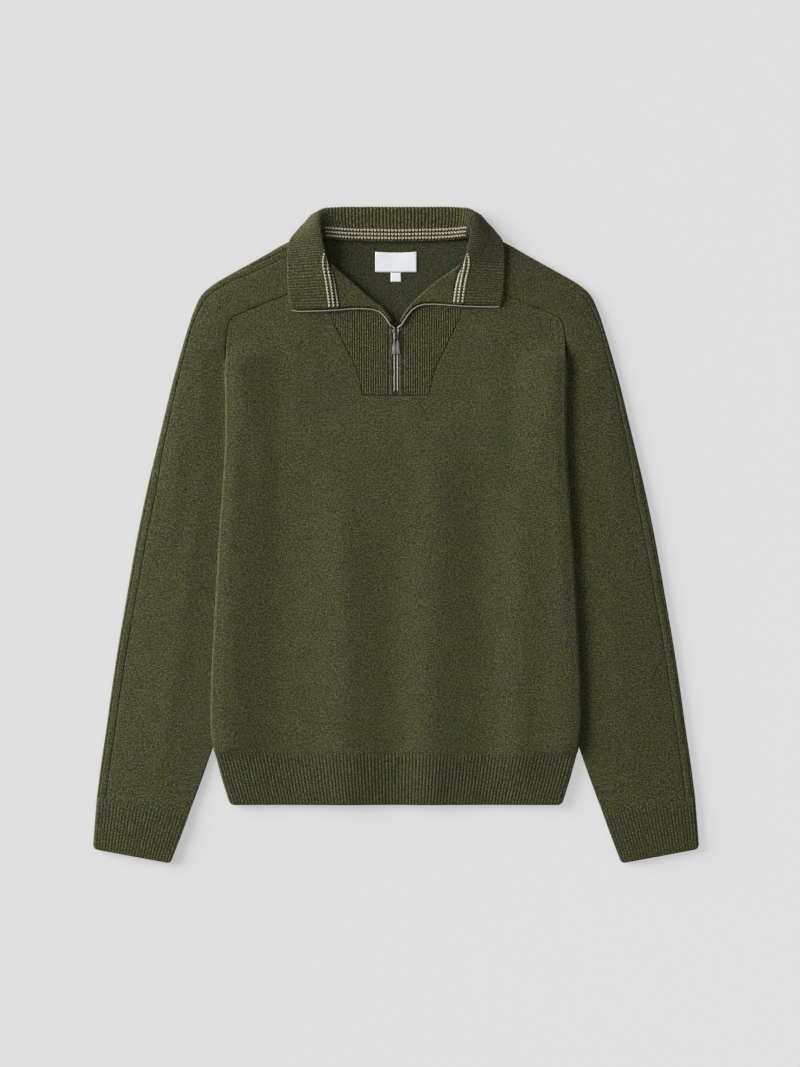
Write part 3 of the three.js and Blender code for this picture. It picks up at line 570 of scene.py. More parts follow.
sleeveSections = columnsOf("outX outY inX inY crown inTop tuck groove", [
    [350.2, -306.0, 241.6, -323.7, 7.0, 5.7, 0, 11.1],
    [345.4, -268.7, 227.2, -285.1, 7.2, 5.5, 0, 11.1],
    [339.4, -227.8, 213.0, -244.2, 7.4, 5.3, 6, 11.1],
    [332.9, -181.0, 196.6, -197.4, 7.5, 5.3, 24, 11.1],
    [324.9, -128.3, 188.4, -145.9, 7.5, 5.3, 30, 11.2],
    [315.9, -75.7, 184.9, -92.1, 7.6, 5.3, 31, 11.5],
    [305.4, -14.9, 180.8, -31.2, 7.6, 5.3, 31, 11.7],
    [292.9, 47.2, 177.3, 31.9, 7.7, 5.3, 31, 11.5],
    [280.6, 99.8, 175.5, 88.1, 7.7, 5.3, 29, 8.2],
    [270.3, 143.1, 179.0, 132.6, 7.7, 5.3, 24, 7.0],
    [262.1, 177.0, 189.5, 170.0, 7.7, 5.3, 14, 6.2],
    [254.5, 205.1, 199.7, 202.8, 7.8, 5.3, 4, 5.9],
    [244.2, 240.2, 198.5, 228.5, 7.9, 7.0, 0, 4.4],
    [236.3, 263.6, 196.3, 243.7, 7.8, 7.1, 0, 5.8],
    [227.6, 281.2, 192.5, 253.1, 7.7, 7.1, 0, 7.2],
    [214.7, 292.9, 184.9, 257.8, 7.7, 7.1, 0, 7.8],
    [195.4, 304.6, 173.2, 263.0, 7.6, 7.1, 0, 8.4],
    [174.3, 316.3, 157.9, 269.5, 7.5, 7.1, 0, 11.4],
    [153.3, 328.0, 140.4, 276.5, 7.4, 7.1, 0, 13.6],
    [132.2, 340.2, 121.7, 284.1, 7.2, 6.9, 0, 15.4],
    [112.0, 350.0, 106.0, 296.2, 7.0, 6.7, 0, 17.0],
    [101.5, 353.6, 97.0, 317.0, 6.8, 6.5, 0, 17.0],
])
sleeveCount = len(sleeveSections["outX"])
sleeveCurves = {key: curveThrough(range(sleeveCount), values) for key, values in sleeveSections.items()}
armholeEnd = 12  # the section where the front panel's edge rises out of its roll
sleeve = {
    "roll": 3.1,
    "stripWidth": 8.2,
    "grooveDepth": 0.75,
    "grooveWidth": 0.75,
    "rowsPerSection": 7,
    "lump": 0.5,
    "leastGroove": 1.2,  # a groove closer to the fold than this isn't cut
    "firstRow": 0.011,  # rows before this share of a section lie straight below it
    "sectionLong": 37,
}
foldShares = np.array([1, 0.72, 0.46, 0.24, 0.09, 0.02])  # where the under layer's points meet the fold


def foldedSection(row, columns, roll, thick, topOf):
    # outer and inner points of a folded tube, from its inner edge underneath to the one on top
    out = np.array([row["outX"], row["outY"]])
    toward = np.array([row["inX"], row["inY"]]) - out
    width = float(np.linalg.norm(toward))
    toward = toward / width
    radius = roll - thick
    under = np.concatenate([width * np.linspace(1, 0.08, 9), roll * foldShares])
    over = columns(width)
    s = np.concatenate([under, over])
    back = np.clip(1 - s / roll, 0, 1)
    way = np.concatenate([-np.ones(len(under)), np.ones(len(over))])
    bow = np.sqrt(1 - back ** 2)
    base = topOf(row, width, over)
    outerZ = np.concatenate([roll - roll * bow[: len(under)], base["outer"]])
    innerZ = roll + way * radius * bow
    flatTop = np.maximum(base["plain"] - thick, thick + cloth["layerGap"])
    innerZ[len(under):] = np.where(over < roll, innerZ[len(under):], flatTop)
    innerS = np.maximum(s, roll) - radius * back
    outer = np.column_stack([out[0] + toward[0] * s, out[1] + toward[1] * s, outerZ])
    inner = np.column_stack([out[0] + toward[0] * innerS, out[1] + toward[1] * innerS, innerZ])
    girth = runLengths(outer)
    return outer, inner, girth - girth[len(under)]


def sleeveTop(row, width, s, roll):
    shown = width - row["tuck"]
    share = np.clip(s / shown, 0, 1)
    bow = np.sqrt(np.maximum(roll ** 2 - np.clip(roll - s, 0, roll) ** 2, 0))
    rounding = np.where(s < roll, roll - bow, 0)
    crown = (row["crown"] - 2 * roll) * np.sin(np.pi * share ** 1.15)
    down = (row["inTop"] - 2 * roll) * smooth(0.55, 0.96, share)
    return 2 * roll - rounding + crown + down


def sleeveSurface(row, width, s):
    plain = sleeveTop(row, width, s, sleeve["roll"])
    dip = np.exp(-(((s - row["groove"]) / sleeve["grooveWidth"]) ** 2))
    outerGroove = row["groove"] - sleeve["stripWidth"]
    if outerGroove > sleeve["leastGroove"]:
        dip = dip + np.exp(-(((s - outerGroove) / sleeve["grooveWidth"]) ** 2))
    return {"plain": plain, "outer": plain - sleeve["grooveDepth"] * dip}


def sleeveColumns(groove):
    def columns(width):
        near = np.array([-1.6, -1.0, -0.6, -0.3, 0, 0.3, 0.6, 1.0, 1.6])
        wanted = [0, 0.12, 0.4, 0.8]
        wanted += [*(max(groove - sleeve["stripWidth"], 0.9) + near), *(groove + near)]
        wanted += [*(width * np.linspace(0.17, 0.95, 44)), *(width - np.array([2.4, 1.0, 0.4, 0.1, 0]))]
        for k in range(1, len(wanted)):
            wanted[k] = max(wanted[k], wanted[k - 1] + 0.06)
        return np.array(wanted) * (width / wanted[-1])
    return columns


def makeSleeve(side, name):
    outer, inner, uv = [], [], []
    along = 0.0
    before = None
    ks = np.linspace(0, sleeveCount - 1, (sleeveCount - 1) * sleeve["rowsPerSection"] + 1)
    for k in np.concatenate([[0, 0.006, 0.014], ks[1:]]):
        row = {key: float(at(max(k, sleeve["firstRow"]))) for key, at in sleeveCurves.items()}
        columns = sleeveColumns(row["groove"])
        o, n, girth = foldedSection(row, columns, sleeve["roll"], cloth["plain"], sleeveSurface)
        shift = max(sleeve["firstRow"] - k, 0) * sleeve["sectionLong"]
        o[:, 1] -= shift
        n[:, 1] -= shift
        middle = o[len(o) // 2]
        along += 0 if before is None else float(np.linalg.norm(middle - before))
        before = middle
        outer.append(o)
        inner.append(n)
        uv.append(np.column_stack([girth, np.full(len(girth), along)]))
    outer, inner, uv = np.array(outer), np.array(inner), np.array(uv)
    shown = smooth(3.2, 5.2, outer[..., 2])
    free = smooth(0, 14, rimDistance(outer))
    lift = sleeve["lump"] * lumps(outer, 5.0 + side) + foldsOn(outer, sleeveFolds)
    outer[..., 2] += lift * shown * free
    inner[..., 2] += lift * shown * free
    outer, inner = pinch(outer, inner, rimDistance(outer, butFirstRow), cloth["rim"])
    onSide(side, outer, inner)
    return makeWall(name, outer, inner, uv)


# Soft folds, each a ridge (or a trough, where the height is negative) from one point to another

def foldsOn(points, folds):
    total = np.zeros(points.shape[:-1])
    for x0, y0, x1, y1, height, half in zip(*folds.values()):
        a, b = np.array([x0, y0]), np.array([x1, y1])
        offset = points[..., :2] - a
        length = np.linalg.norm(b - a)
        along = (offset @ (b - a)) / length ** 2
        across = (offset[..., 0] * (b - a)[1] - offset[..., 1] * (b - a)[0]) / length
        bow = np.clip(np.sin(np.pi * np.clip(along, 0, 1)), 0, 1) ** 0.7
        total += height * np.exp(-((across / half) ** 2)) * bow
    return total


sleeveFolds = columnsOf("x0 y0 x1 y1 height half", [
    [252, 190, 262, 20, 0.7, 11],
    [228, 120, 262, -60, -0.6, 10],
    [285, 60, 310, -120, 0.5, 9],
    [232, 30, 262, -190, 0.6, 12],
    [300, -60, 322, -270, -0.5, 9],
    [255, -130, 280, -300, 0.5, 9],
    [228, 236, 214, 170, -0.5, 8],
])
for side, name in ((1, "left"), (-1, "right")):
    item = makeSleeve(side, "sleeveCloth_" + name)
    dress(item, knitCloth, "knit", "sleeve_" + name)
print("stage: sleeves")


# Front and back

bodySide = columnsOf("y x roll", [
    [-253.8, 212.6, 1],
    [-245.3, 214.1, 1],
    [-213.8, 216.8, 1],
    [-181.0, 216.4, 1],
    [-128.0, 214.0, 1],
    [-75.7, 211.2, 1],
    [-20.0, 208.0, 1],
    [31.9, 204.6, 1],
    [75.0, 201.4, 1],
    [111.5, 199.7, 1],
    [158.3, 199.6, 1],
    [186.4, 200.3, 1],
    [202.0, 199.9, 1],
    [208.0, 198.9, 0.6],
    [218.0, 198.3, 0.3],
])
bodySideAt = curveThrough(bodySide["y"], bodySide["x"])
bodyRollAt = curveThrough(bodySide["y"], bodySide["roll"])
bodyFolds = columnsOf("x stray height width top bottom", [
    [-124, -2, -2.3, 30, 60, -335],
    [-62, 2, 2.6, 24, 60, -340],
    [-6, 3, -2.0, 22, -20, -345],
    [46, -2, 2.7, 24, 100, -330],
    [103, 2, -2.2, 25, 60, -345],
    [152, -3, 3.3, 27, 60, -290],
])
bodyHeights = columnsOf("y z", [
    [-320, 8.0],
    [-230, 9.1],
    [-120, 9.7],
    [90, 9.7],
    [200, 7.7],
])
bodyTopAt = curveThrough(bodyHeights["y"], bodyHeights["z"])


def frontTop(x, y):
    z = bodyTopAt(y) + np.zeros(np.broadcast(x, y).shape)
    for middle, stray, height, width, top, bottom in zip(*bodyFolds.values()):
        along = smooth(top + 60, top - 60, y) * smooth(bottom - 20, bottom + 40, y)
        z = z + height * along * np.exp(-(((x - middle + stray * y / 100) / width) ** 2))
    z = mix(z, body["neckTop"], smooth(120, 70, np.abs(x)) * smooth(120, 160, y))
    fromSide = bodySideAt(np.clip(y, body["hemTopY"], 220)) - np.abs(x)
    edgeTop = body["sideTop"] + body["sideCrest"] * smooth(body["sideRoll"], 13, fromSide)
    return mix(z, edgeTop, smooth(70, 14, fromSide) * smooth(226, 203, y) * smooth(-264, -244, y))


def shiftLine(points, distance):
    ahead = np.gradient(points, axis=0)
    ahead = ahead / np.linalg.norm(ahead, axis=1, keepdims=True)
    return points + distance * np.column_stack([-ahead[:, 1], ahead[:, 0]])


placketSeam = np.array([
    [38.6, 163.8],
    [41.8, 181.7],
    [46.8, 198.1],
    [59.2, 222.7],
    [74.2, 254.2],
    [77.2, 265.9],
    [82.0, 281.0],
])


def makeFront():
    saddle = np.linspace(armholeEnd, sleeveCount - 2, 64)
    line = np.column_stack([sleeveCurves["inX"](saddle), sleeveCurves["inY"](saddle)])
    line = shiftLine(line, cloth["seamGap"])
    foot = placketSeam[0][1] - cloth["seamGap"]
    hem = body["hemTopY"] + np.array([0, 0.13, 0.5])
    low = np.linspace(body["hemTopY"] + 1, foot - 1, 100)
    high = np.linspace(foot + 2, 218, 13)
    ys = np.concatenate([hem, low, foot - np.array([0.5, 0.13, 0]), high])
    edges = bodySideAt(ys)
    rolls = np.maximum(body["sideRoll"] * bodyRollAt(ys), 0.8)
    ys = np.concatenate([ys, line[:, 1]])
    edges = np.concatenate([edges, line[:, 0]])
    rolls = np.concatenate([rolls, np.full(len(line), 0.8)])
    seam = shiftLine(placketSeam, -cloth["seamGap"])
    start = np.where(ys <= foot + 0.01, seam[0][0], np.interp(ys, seam[:, 1], seam[:, 0]))
    shares = closeAtEnds(body["across"], 160, 1.0)[:-3]
    shares = shares / shares[-1]
    turnShares = np.array([0.06, 0.16, 0.28, 0.4, 0.52, 0.64, 0.76, 0.87, 0.95, 0.985, 1])
    middle = np.linspace(-1, 1, 21)[1:-1]
    outer, inner = [], []
    for y, edge, roll, x0 in zip(ys, edges, rolls, start):
        flat = edge - roll
        xs = mix(x0, flat, shares)
        across = np.concatenate([-xs[::-1], middle * x0, xs])
        top = frontTop(across, y)
        flatOuter = np.column_stack([across, np.full(len(across), y), top])
        flatInner = flatOuter - [0, 0, cloth["plain"]]
        inside = roll - cloth["plain"]
        angles = np.radians(90 - turnShares * (90 + body["sideCurl"] * np.clip(inside, 0, 1)))
        count = len(angles)
        sides = []
        for way, rim in ((-1, top[0]), (1, top[-1])):
            o, n = (
                np.column_stack([
                    way * (flat + radius * np.cos(angles)),
                    np.full(count, y),
                    rim - roll + radius * np.sin(angles),
                ])
                for radius in (roll, inside)
            )
            if inside <= body["leastInside"]:
                n = np.column_stack([o[:, 0], o[:, 1], np.full(count, rim - cloth["plain"])])
            sides.append((o, n) if way > 0 else (o[::-1], n[::-1]))
        outer.append(np.concatenate([sides[0][0], flatOuter, sides[1][0]]))
        inner.append(np.concatenate([sides[0][1], flatInner, sides[1][1]]))
    outer, inner = np.array(outer), np.array(inner)
    uv = outer[..., :2].copy()
    sideCount = len(shares) + len(turnShares)
    kept = np.ones((outer.shape[0] - 1, outer.shape[1] - 1), dtype=bool)
    above = (ys[:-1] + ys[1:]) / 2 > foot
    kept[above, sideCount - 1:-(sideCount - 1)] = False
    notch = [(-x, y) for x, y in seam[::-1]] + [tuple(p) for p in seam]
    notch = [p for p in notch if p[1] >= foot - 0.5]
    notch.insert(len(notch) // 2, (-seam[0][0], foot))
    notch.insert(len(notch) // 2 + 1, (seam[0][0], foot))
    toNotch = distanceToLine(outer[..., :2], notch)
    free = smooth(0, 25, np.minimum(rimDistance(outer), toNotch))
    lift = body["lump"] * lumps(outer, 1.0) * free + foldsOn(outer, frontFolds) * free
    outer[..., 2] += lift
    inner[..., 2] += lift
    distance = np.minimum(rimDistance(outer, butFirstRow), toNotch)
    outer, inner = pinch(outer, inner, distance, cloth["rim"])
    return makeWall("frontCloth", outer, inner, uv, kept)


frontFolds = columnsOf("x0 y0 x1 y1 height half", [
    [-186, 205, -150, 60, 0.5, 9],
    [188, 190, 152, 50, 0.6, 9],
    [-170, 120, -186, -60, -0.4, 8],
    [176, 40, 190, -150, -0.5, 8],
    [-196, -120, -170, -245, 0.5, 8],
    [190, -140, 166, -250, 0.5, 8],
    [-60, 120, -72, -20, -0.35, 12],
    [54, 100, 70, -60, 0.4, 12],
])
front = makeFront()
dress(front, knitCloth, "knit", "front_panel")


def acrossShares(count, radius):
    # shares from -1 to 1, closer together near the sides and the middle
    half = closeAtEnds(count, 200, radius)
    return np.concatenate([-half[::-1], half[1:]])


def makeBack():
    # a flat panel: rows across, with its sides on the sleeve seam
    seamKs = np.linspace(2, sleeveCount - 1, 110)
    line = np.column_stack([sleeveCurves["inX"](seamKs), sleeveCurves["inY"](seamKs)])
    line = shiftLine(line, -cloth["seamLap"])
    neck = np.array([[94, 333], [91.5, 342], [88, body["backNeckY"]]])
    foot = np.array([[211.2, body["hemTopY"]], [211.2, body["hemTopY"] + 0.4]])
    side = np.concatenate([foot, line, neck])
    side = side[np.concatenate([[True], np.diff(side[:, 1]) > 0.05])]
    shares = acrossShares(40, 1.0)
    thick = cloth["back"]
    outer = np.array([[[x * share, y, thick] for share in shares] for x, y in side])
    inner = outer - [0, 0, thick]
    distance = rimDistance(outer)
    lift = 0.25 * lumps(outer, 9.0, ((30, 1.0), (11, 0.4))) * smooth(0, 12, distance)
    outer[..., 2] += np.clip(lift, -0.4, 0.25)
    outer, inner = pinch(outer, inner, distance, cloth["rim"])
    return makeWall("backCloth", outer, inner, outer[..., :2].copy())


back = makeBack()
dress(back, shadedInsideCloth, "knit", "back_panel")
print("stage: front and back")


# Ribbed bands

def ribHeight(phase):
    # 1 on a rib and -1 in the groove between two, at phase 0 and 0.5
    t = np.abs(((np.asarray(phase) + 0.5) % 1) - 0.5)
    return 2 * np.cos(np.pi * t) ** 0.75 - 1


bandPitch = 4.1  # width of a rib on the map of the bands
hem = {
    "ribs": 104,
    "samples": 8,  # columns of the mesh in each rib
    "rows": 26,
    "long": 61,
    "half": 194,  # half the width of the band at its lower edge
    "relief": 0.31,
    "corner": 5.0,
    "sideRound": 4,
    "sideDrop": 2.6,
    "under": 2.8,
    "rim": 1.2,
}
hemSide = columnsOf("y x", [
    [-315.5, 194.2],
    [-303.8, 197.9],
    [-286.3, 203.4],
    [-268.7, 208.2],
    [-253.8, 212.2],
])
hemSideAt = curveThrough(hemSide["y"], hemSide["x"])


def makeHemFront():
    columns = hem["ribs"] * hem["samples"]
    u = np.linspace(-1, 1, columns + 1)
    fromEdge = (1 - np.abs(u)) * hem["half"]
    near = np.clip(hem["corner"] - fromEdge, 0, hem["corner"])
    lift = hem["corner"] - np.sqrt(hem["corner"] ** 2 - near ** 2)
    v = closeAtEnds(hem["rows"], hem["long"], hem["rim"])[:, None]
    y = mix(body["hemTopY"] - 0.03, body["hemBottomY"] + lift[None, :], v)
    x = u[None, :] * hemSideAt(y)
    rounding = np.clip(fromEdge / hem["sideRound"], 0, 1)
    sideDrop = hem["sideDrop"] * (1 - np.sqrt(1 - (1 - rounding) ** 2))
    top = frontTop(x, y) - sideDrop[None, :]
    outer = np.stack([x, y, top], axis=-1)
    wave = 0.3 * lumps(outer, 17.0, ((40, 1.0), (16, 0.5)))
    inner = outer.copy()
    lowest = hem["under"] + cloth["layerGap"]
    inner[..., 2] = np.where(rounding[None, :] < 1, lowest, np.maximum(top - cloth["rib"], lowest))
    phase = (u[None, :] + 1) / 2 * hem["ribs"] + 0.5
    ends = smooth(0, 1.6, rimDistance(outer)) * smooth(body["hemTopY"] - 0.5, body["hemTopY"] - 6, y)
    sway = 0.10 * lumps(outer, 21.0, ((14, 1.0),))
    outer[..., 2] += (hem["relief"] * ribHeight(phase + sway) + wave) * ends
    outer, inner = pinch(outer, inner, rimDistance(outer, butFirstRow), hem["rim"])
    uv = np.stack([(phase + 0.5) * bandPitch + 0 * x, y - body["hemTopY"]], axis=-1)
    return makeWall("hemBandFront", outer, inner, uv)


def makeHemBack():
    ys = np.linspace(body["hemBottomY"] + 1.5, body["hemTopY"] - cloth["seamGap"], 16)
    shares = acrossShares(20, hem["rim"])
    outer = np.array([[[(hemSideAt(y) - 2.5) * share, y, hem["under"]] for share in shares] for y in ys])
    inner = outer - [0, 0, hem["under"]]
    outer, inner = pinch(outer, inner, rimDistance(outer), hem["rim"])
    return makeWall("hemBandBack", outer, inner, outer[..., :2].copy())


hemBand = makeHemFront()
dress(hemBand, bodyRib, "rib", "hem_rib_front")
hemUnder = makeHemBack()
dress(hemUnder, bodyRib, "rib", "hem_rib_back")

cuff = {
    "ribs": 26,
    "samples": 8,
    "rows": 24,
    "long": 61,
    "ribStart": 3.5,
    "relief": 0.17,
    "roll": 3.4,
    "rim": 1.2,
    "corner": 6.5,
    "rounding": 0.8,  # how much of a full quarter round the corners get
    "step": 0.7,  # how far the cuff lies below the sleeve at their seam
}
cuffTop = {key: values[0] for key, values in sleeveSections.items()}
cuffTop.update(crown=7.8, inTop=7.0)
cuffEnd = dict(cuffTop, outX=355.0, outY=-367.0, inX=262.6, inY=-384.1, crown=7.5)


def roundCuffCorners(vs, *grids):
    # draws the lower edge back toward the seam near both sides
    up = np.array([cuffTop["outX"] - cuffEnd["outX"], cuffTop["outY"] - cuffEnd["outY"]]) / cuff["long"]
    for v, *rows in zip(vs, *grids):
        row = {key: mix(cuffTop[key], cuffEnd[key], v) for key in cuffTop}
        out = np.array([row["outX"], row["outY"]])
        width = math.hypot(row["inX"] - out[0], row["inY"] - out[1])
        for points in rows:
            s = np.linalg.norm(points[:, :2] - out, axis=1)
            near = np.clip(cuff["corner"] - np.minimum(s, width - s), 0, cuff["corner"])
            lift = cuff["corner"] - np.sqrt(cuff["corner"] ** 2 - near ** 2)
            points[:, :2] += up * lift[:, None] * v ** 2 * cuff["rounding"]


def makeCuff(side, name):
    ribbed = cuff["ribs"] * cuff["samples"] + 1

    def columns(width):
        return np.concatenate([[0, 0.15, 0.5, 1.1, 1.9, 2.7], np.linspace(cuff["ribStart"], width, ribbed)])

    def surface(row, width, s):
        plain = sleeveTop(row, width, s, cuff["roll"])
        return {"plain": plain, "outer": plain}

    outer, inner, uv = [], [], []
    vs = closeAtEnds(cuff["rows"], cuff["long"], cuff["rim"])
    for v in vs:
        row = {key: mix(cuffTop[key], cuffEnd[key], v) for key in cuffTop}
        o, n, girth = foldedSection(row, columns, cuff["roll"], cloth["rib"], surface)
        outer.append(o)
        inner.append(n)
        uv.append(np.column_stack([girth, np.full(len(girth), -cuff["long"] * v)]))
    outer, inner, uv = np.array(outer), np.array(inner), np.array(uv)
    roundCuffCorners(vs, outer, inner)
    phase = np.arange(ribbed) / cuff["samples"]
    below = -uv[..., 1]
    ends = smooth(0, 1.6, rimDistance(outer)) * smooth(0.5, 8, below)
    outer[..., 2] -= cuff["step"] * smooth(7, 0, below) * smooth(4, 6, outer[..., 2])
    outer[:, -ribbed:, 2] += cuff["relief"] * ribHeight(phase) * ends[:, -ribbed:]
    uv[:, -ribbed:, 0] = (phase + 0.5) * bandPitch
    wave = 0.3 * lumps(outer, 31.0 + side, ((30, 1.0), (12, 0.5))) * ends * smooth(4, 6, outer[..., 2])
    outer[..., 2] += wave
    outer, inner = pinch(outer, inner, rimDistance(outer, butFirstRow), cuff["rim"])
    onSide(side, outer, inner)
    item = makeWall("cuffBand_" + name, outer, inner, uv)
    dress(item, cuffRib, "rib", "cuff_" + name)


makeCuff(1, "left")
makeCuff(-1, "right")
print("stage: bands")


# Placket: ribs that run straight up, cut along the slanted seam, with a plain lip at the zip

placket = {
    "pitch": 2.75,
    "samples": 8,
    "rows": 60,
    "relief": 0.44,
    "zipEdge": 3.45,  # how far from the middle the lip ends beside the zip
    "zipFoot": 168.5,
    "ribStart": 9.4,
    "ribEnd": 82,
    "lip": 0.35,  # height of the plain lip, and depth of the groove beyond it
    "lipGroove": 0.9,
    "rim": 0.8,
}
placketHead = columnsOf("x y", [
    [0.15, 167.6],
    [3.2, 167.6],
    [3.45, 231.0],
    [4.6, 240.0],
    [6.6, 247.5],
    [10.6, 257.6],
    [20.5, 270.6],
    [32.2, 280.8],
    [45.0, 291.0],
    [53.0, 298.0],
    [86.0, 298.0],
])


def makePlacket(side, name):
    footX = np.concatenate([[0.15], placketSeam[:, 0], [86.0]])
    footY = np.concatenate([[163.8], placketSeam[:, 1], [292.0]])
    edge = placket["zipEdge"]
    ribs = np.arange(placket["ribStart"], placket["ribEnd"], placket["pitch"] / placket["samples"])
    xs = [0.15, 0.3, 0.8, 2.0, 3.1, 3.2, edge, 3.6, 3.9, 4.4]
    xs = np.concatenate([xs, np.linspace(4.8, 9.2, 16), ribs])
    for bend in placketSeam[:, 0]:
        xs[np.argmin(np.abs(xs - bend))] = bend
    low = np.interp(xs, footX, footY)
    high = np.interp(xs, placketHead["x"], placketHead["y"])
    y = mix(low[None, :], high[None, :], closeAtEnds(placket["rows"], 120, 0.9)[:, None])
    x = np.broadcast_to(xs[None, :], y.shape)
    phase = (x - placket["ribStart"]) / placket["pitch"] + 0.5
    lip = placket["lip"] * np.sin(np.pi * np.clip((x - 3.4) / 4.6, 0, 1))
    lip -= placket["lipGroove"] * np.exp(-(((x - 8.7) / 0.5) ** 2))
    relief = np.where(x >= placket["ribStart"], placket["relief"] * ribHeight(phase), lip)
    outer = np.stack([x, y, np.full(y.shape, body["neckTop"])], axis=-1)
    inner = outer - [0, 0, cloth["rib"]]
    rim = rimDistance(outer, (True, True, False, True))
    rim = np.minimum(rim, np.where(y > placket["zipFoot"], np.abs(x - edge), 9))
    outer[..., 2] += (relief + 0.2 * lumps(outer, 41.0, ((25, 1.0), (9, 0.4)))) * smooth(0, 1.2, rim)
    outer, inner = pinch(outer, inner, rim, placket["rim"])
    onSide(side, outer, inner)
    uv = np.stack([(phase + 0.5) * placket["pitch"], y], axis=-1)
    item = makeWall("placketCloth_" + name, outer, inner, uv)
    dress(item, placketRib, "rib", "placket_" + name)


makePlacket(1, "left")
makePlacket(-1, "right")


# The open collar, its facing and the zip line lie a little askew: higher on +X and lower on -X

askew = 2.6


def leanNeck(points):
    x, y = points[..., 0], points[..., 1]
    lean = smooth(6, 34, np.abs(x)) * smooth(318, 282, y) * smooth(150, 110, np.abs(x))
    points[..., 1] += np.sign(x) * askew * lean
    return points


# Facing that turns out beside the open zip

lapelSections = columnsOf("foldX foldY foldZ farX farY farZ", [
    [4.6, 251.5, 8.9, 6.2, 247.6, 8.8],
    [9.6, 260.4, 9.1, 12.0, 257.4, 9.0],
    [14.6, 266.4, 9.2, 17.6, 264.0, 9.1],
    [19.9, 271.8, 9.4, 22.6, 267.2, 9.2],
    [31.6, 281.7, 9.8, 33.9, 269.9, 9.4],
    [44.5, 292.9, 10.2, 49.1, 270.1, 9.6],
    [58.5, 304.0, 10.8, 65.0, 268.6, 9.8],
    [66.7, 310.4, 11.6, 67.6, 284.7, 10.0],
    [72.0, 314.6, 12.6, 71.2, 301.6, 10.2],
    [75.6, 317.4, 13.4, 75.0, 308.6, 10.8],
])
lapel = {"roll": 2.6, "rim": 0.9, "standOn": 6.8, "rowsPerSection": 10, "flat": 18}


def makeLapel(side, name):
    count = len(lapelSections["foldX"])
    curves = {key: curveThrough(range(count), values) for key, values in lapelSections.items()}
    angles = np.radians([74, 58, 42, 27, 13, 0])
    roll, inside = lapel["roll"], lapel["roll"] - cloth["facing"]
    outer, inner = [], []
    for k in np.linspace(0, count - 1, (count - 1) * lapel["rowsPerSection"] + 1):
        row = {key: float(at(k)) for key, at in curves.items()}
        far = np.array([row["farX"], row["farY"]])
        toward = np.array([row["foldX"], row["foldY"]]) - far
        length = np.linalg.norm(toward)
        toward = toward / length
        flat = length - roll
        shares = closeAtEnds(lapel["flat"], max(flat, 2.5), 0.9)[:-3]
        shares = shares / shares[-1]
        lineZ = mix(row["farZ"], row["foldZ"], shares)
        center = row["foldZ"] - roll
        down = [mix(center, lapel["standOn"], 0.5), lapel["standOn"]]
        layers = ((outer, roll, 0, length), (inner, inside, cloth["facing"], flat + inside))
        for rows, radius, drop, end in layers:
            s = np.concatenate([flat * shares, flat + radius * np.cos(angles), [end, end]])
            z = np.concatenate([lineZ - drop, center + radius * np.sin(angles), down])
            z = np.maximum(z, lapel["standOn"])
            rows.append(np.column_stack([far[0] + toward[0] * s, far[1] + toward[1] * s, z]))
    outer, inner = np.array(outer), np.array(inner)
    rims = (True, True, True, False)
    free = smooth(0, 4, rimDistance(outer, rims))
    outer[..., 2] += 0.18 * lumps(outer, 51.0, ((14, 1.0), (5, 0.5))) * free
    outer, inner = pinch(outer, inner, rimDistance(outer, rims), lapel["rim"])
    onSide(side, outer, inner)
    leanNeck(outer)
    leanNeck(inner)
    item = makeWall("facingCloth_" + name, outer, inner, outer[..., [1, 0]].copy())
    dress(item, knitCloth, "knit", "lapel_" + name)


makeLapel(1, "left")
makeLapel(-1, "right")
print("stage: placket and facing")


# Collar: sections from the middle of the back to the front edge, counted in ribs

collarColumns = "rib seamX seamY seamZ ridgeX ridgeY ridgeZ edgeX edgeY edgeZ heading turn reach"
collarSections = columnsOf(collarColumns, [
    [0, 0, 343.2, 5.8, 0, 375, 7.2, 0, 366, 0, 90, 180, 17],
    [12, 47, 344.2, 5.8, 49, 375, 7.3, 48, 366.6, 0, 90, 180, 17],
    [18, 68, 345.6, 5.8, 72, 375, 8.4, 70.5, 369, 0, 90, 172, 15],
    [21.5, 78.5, 346.8, 5.8, 83, 374.2, 11.6, 85, 374.5, 0.2, 80, 145, 11.5],
    [25, 86.5, 347.4, 5.6, 88.5, 370.5, 15.2, 97, 375.5, 1, 62, 100, 9],
    [29, 90.3, 345.4, 5.4, 89.5, 363, 17.6, 108, 366.3, 3.2, 44, 60, 10],
    [33, 91.2, 341.4, 5.4, 88.6, 354, 18.6, 118, 355, 6.8, 28, 35, 12],
    [37.5, 90.2, 336.0, 5.6, 87, 344.5, 18.6, 125, 344.2, 10.2, 14, 14, 13],
    [42, 86.8, 329.6, 6.4, 84.0, 333, 17.4, 127, 331, 10.8, 5, 4, 14],
    [46.5, 81.0, 319.4, 8.0, 82, 320, 15.6, 127.3, 318, 10.9, 0, 0, 14],
    [51.5, 72.8, 302.6, 9.7, 77.5, 302.5, 13.8, 127, 300, 10.9, 0, 0, 14],
    [57, 68.8, 285, 10.0, 75, 285, 12.6, 126, 283, 10.9, 0, 0, 14],
    [62, 66.2, 268, 10.0, 73, 267.4, 11.2, 122.5, 267, 10.9, 0, 0, 14],
])
collar = {"perHalf": 62, "samples": 8, "relief": 0.44, "pitch": 3.3, "rim": 1.3}
collarCurves = {
    key: curveThrough(collarSections["rib"], values)
    for key, values in collarSections.items() if key != "rib"
}


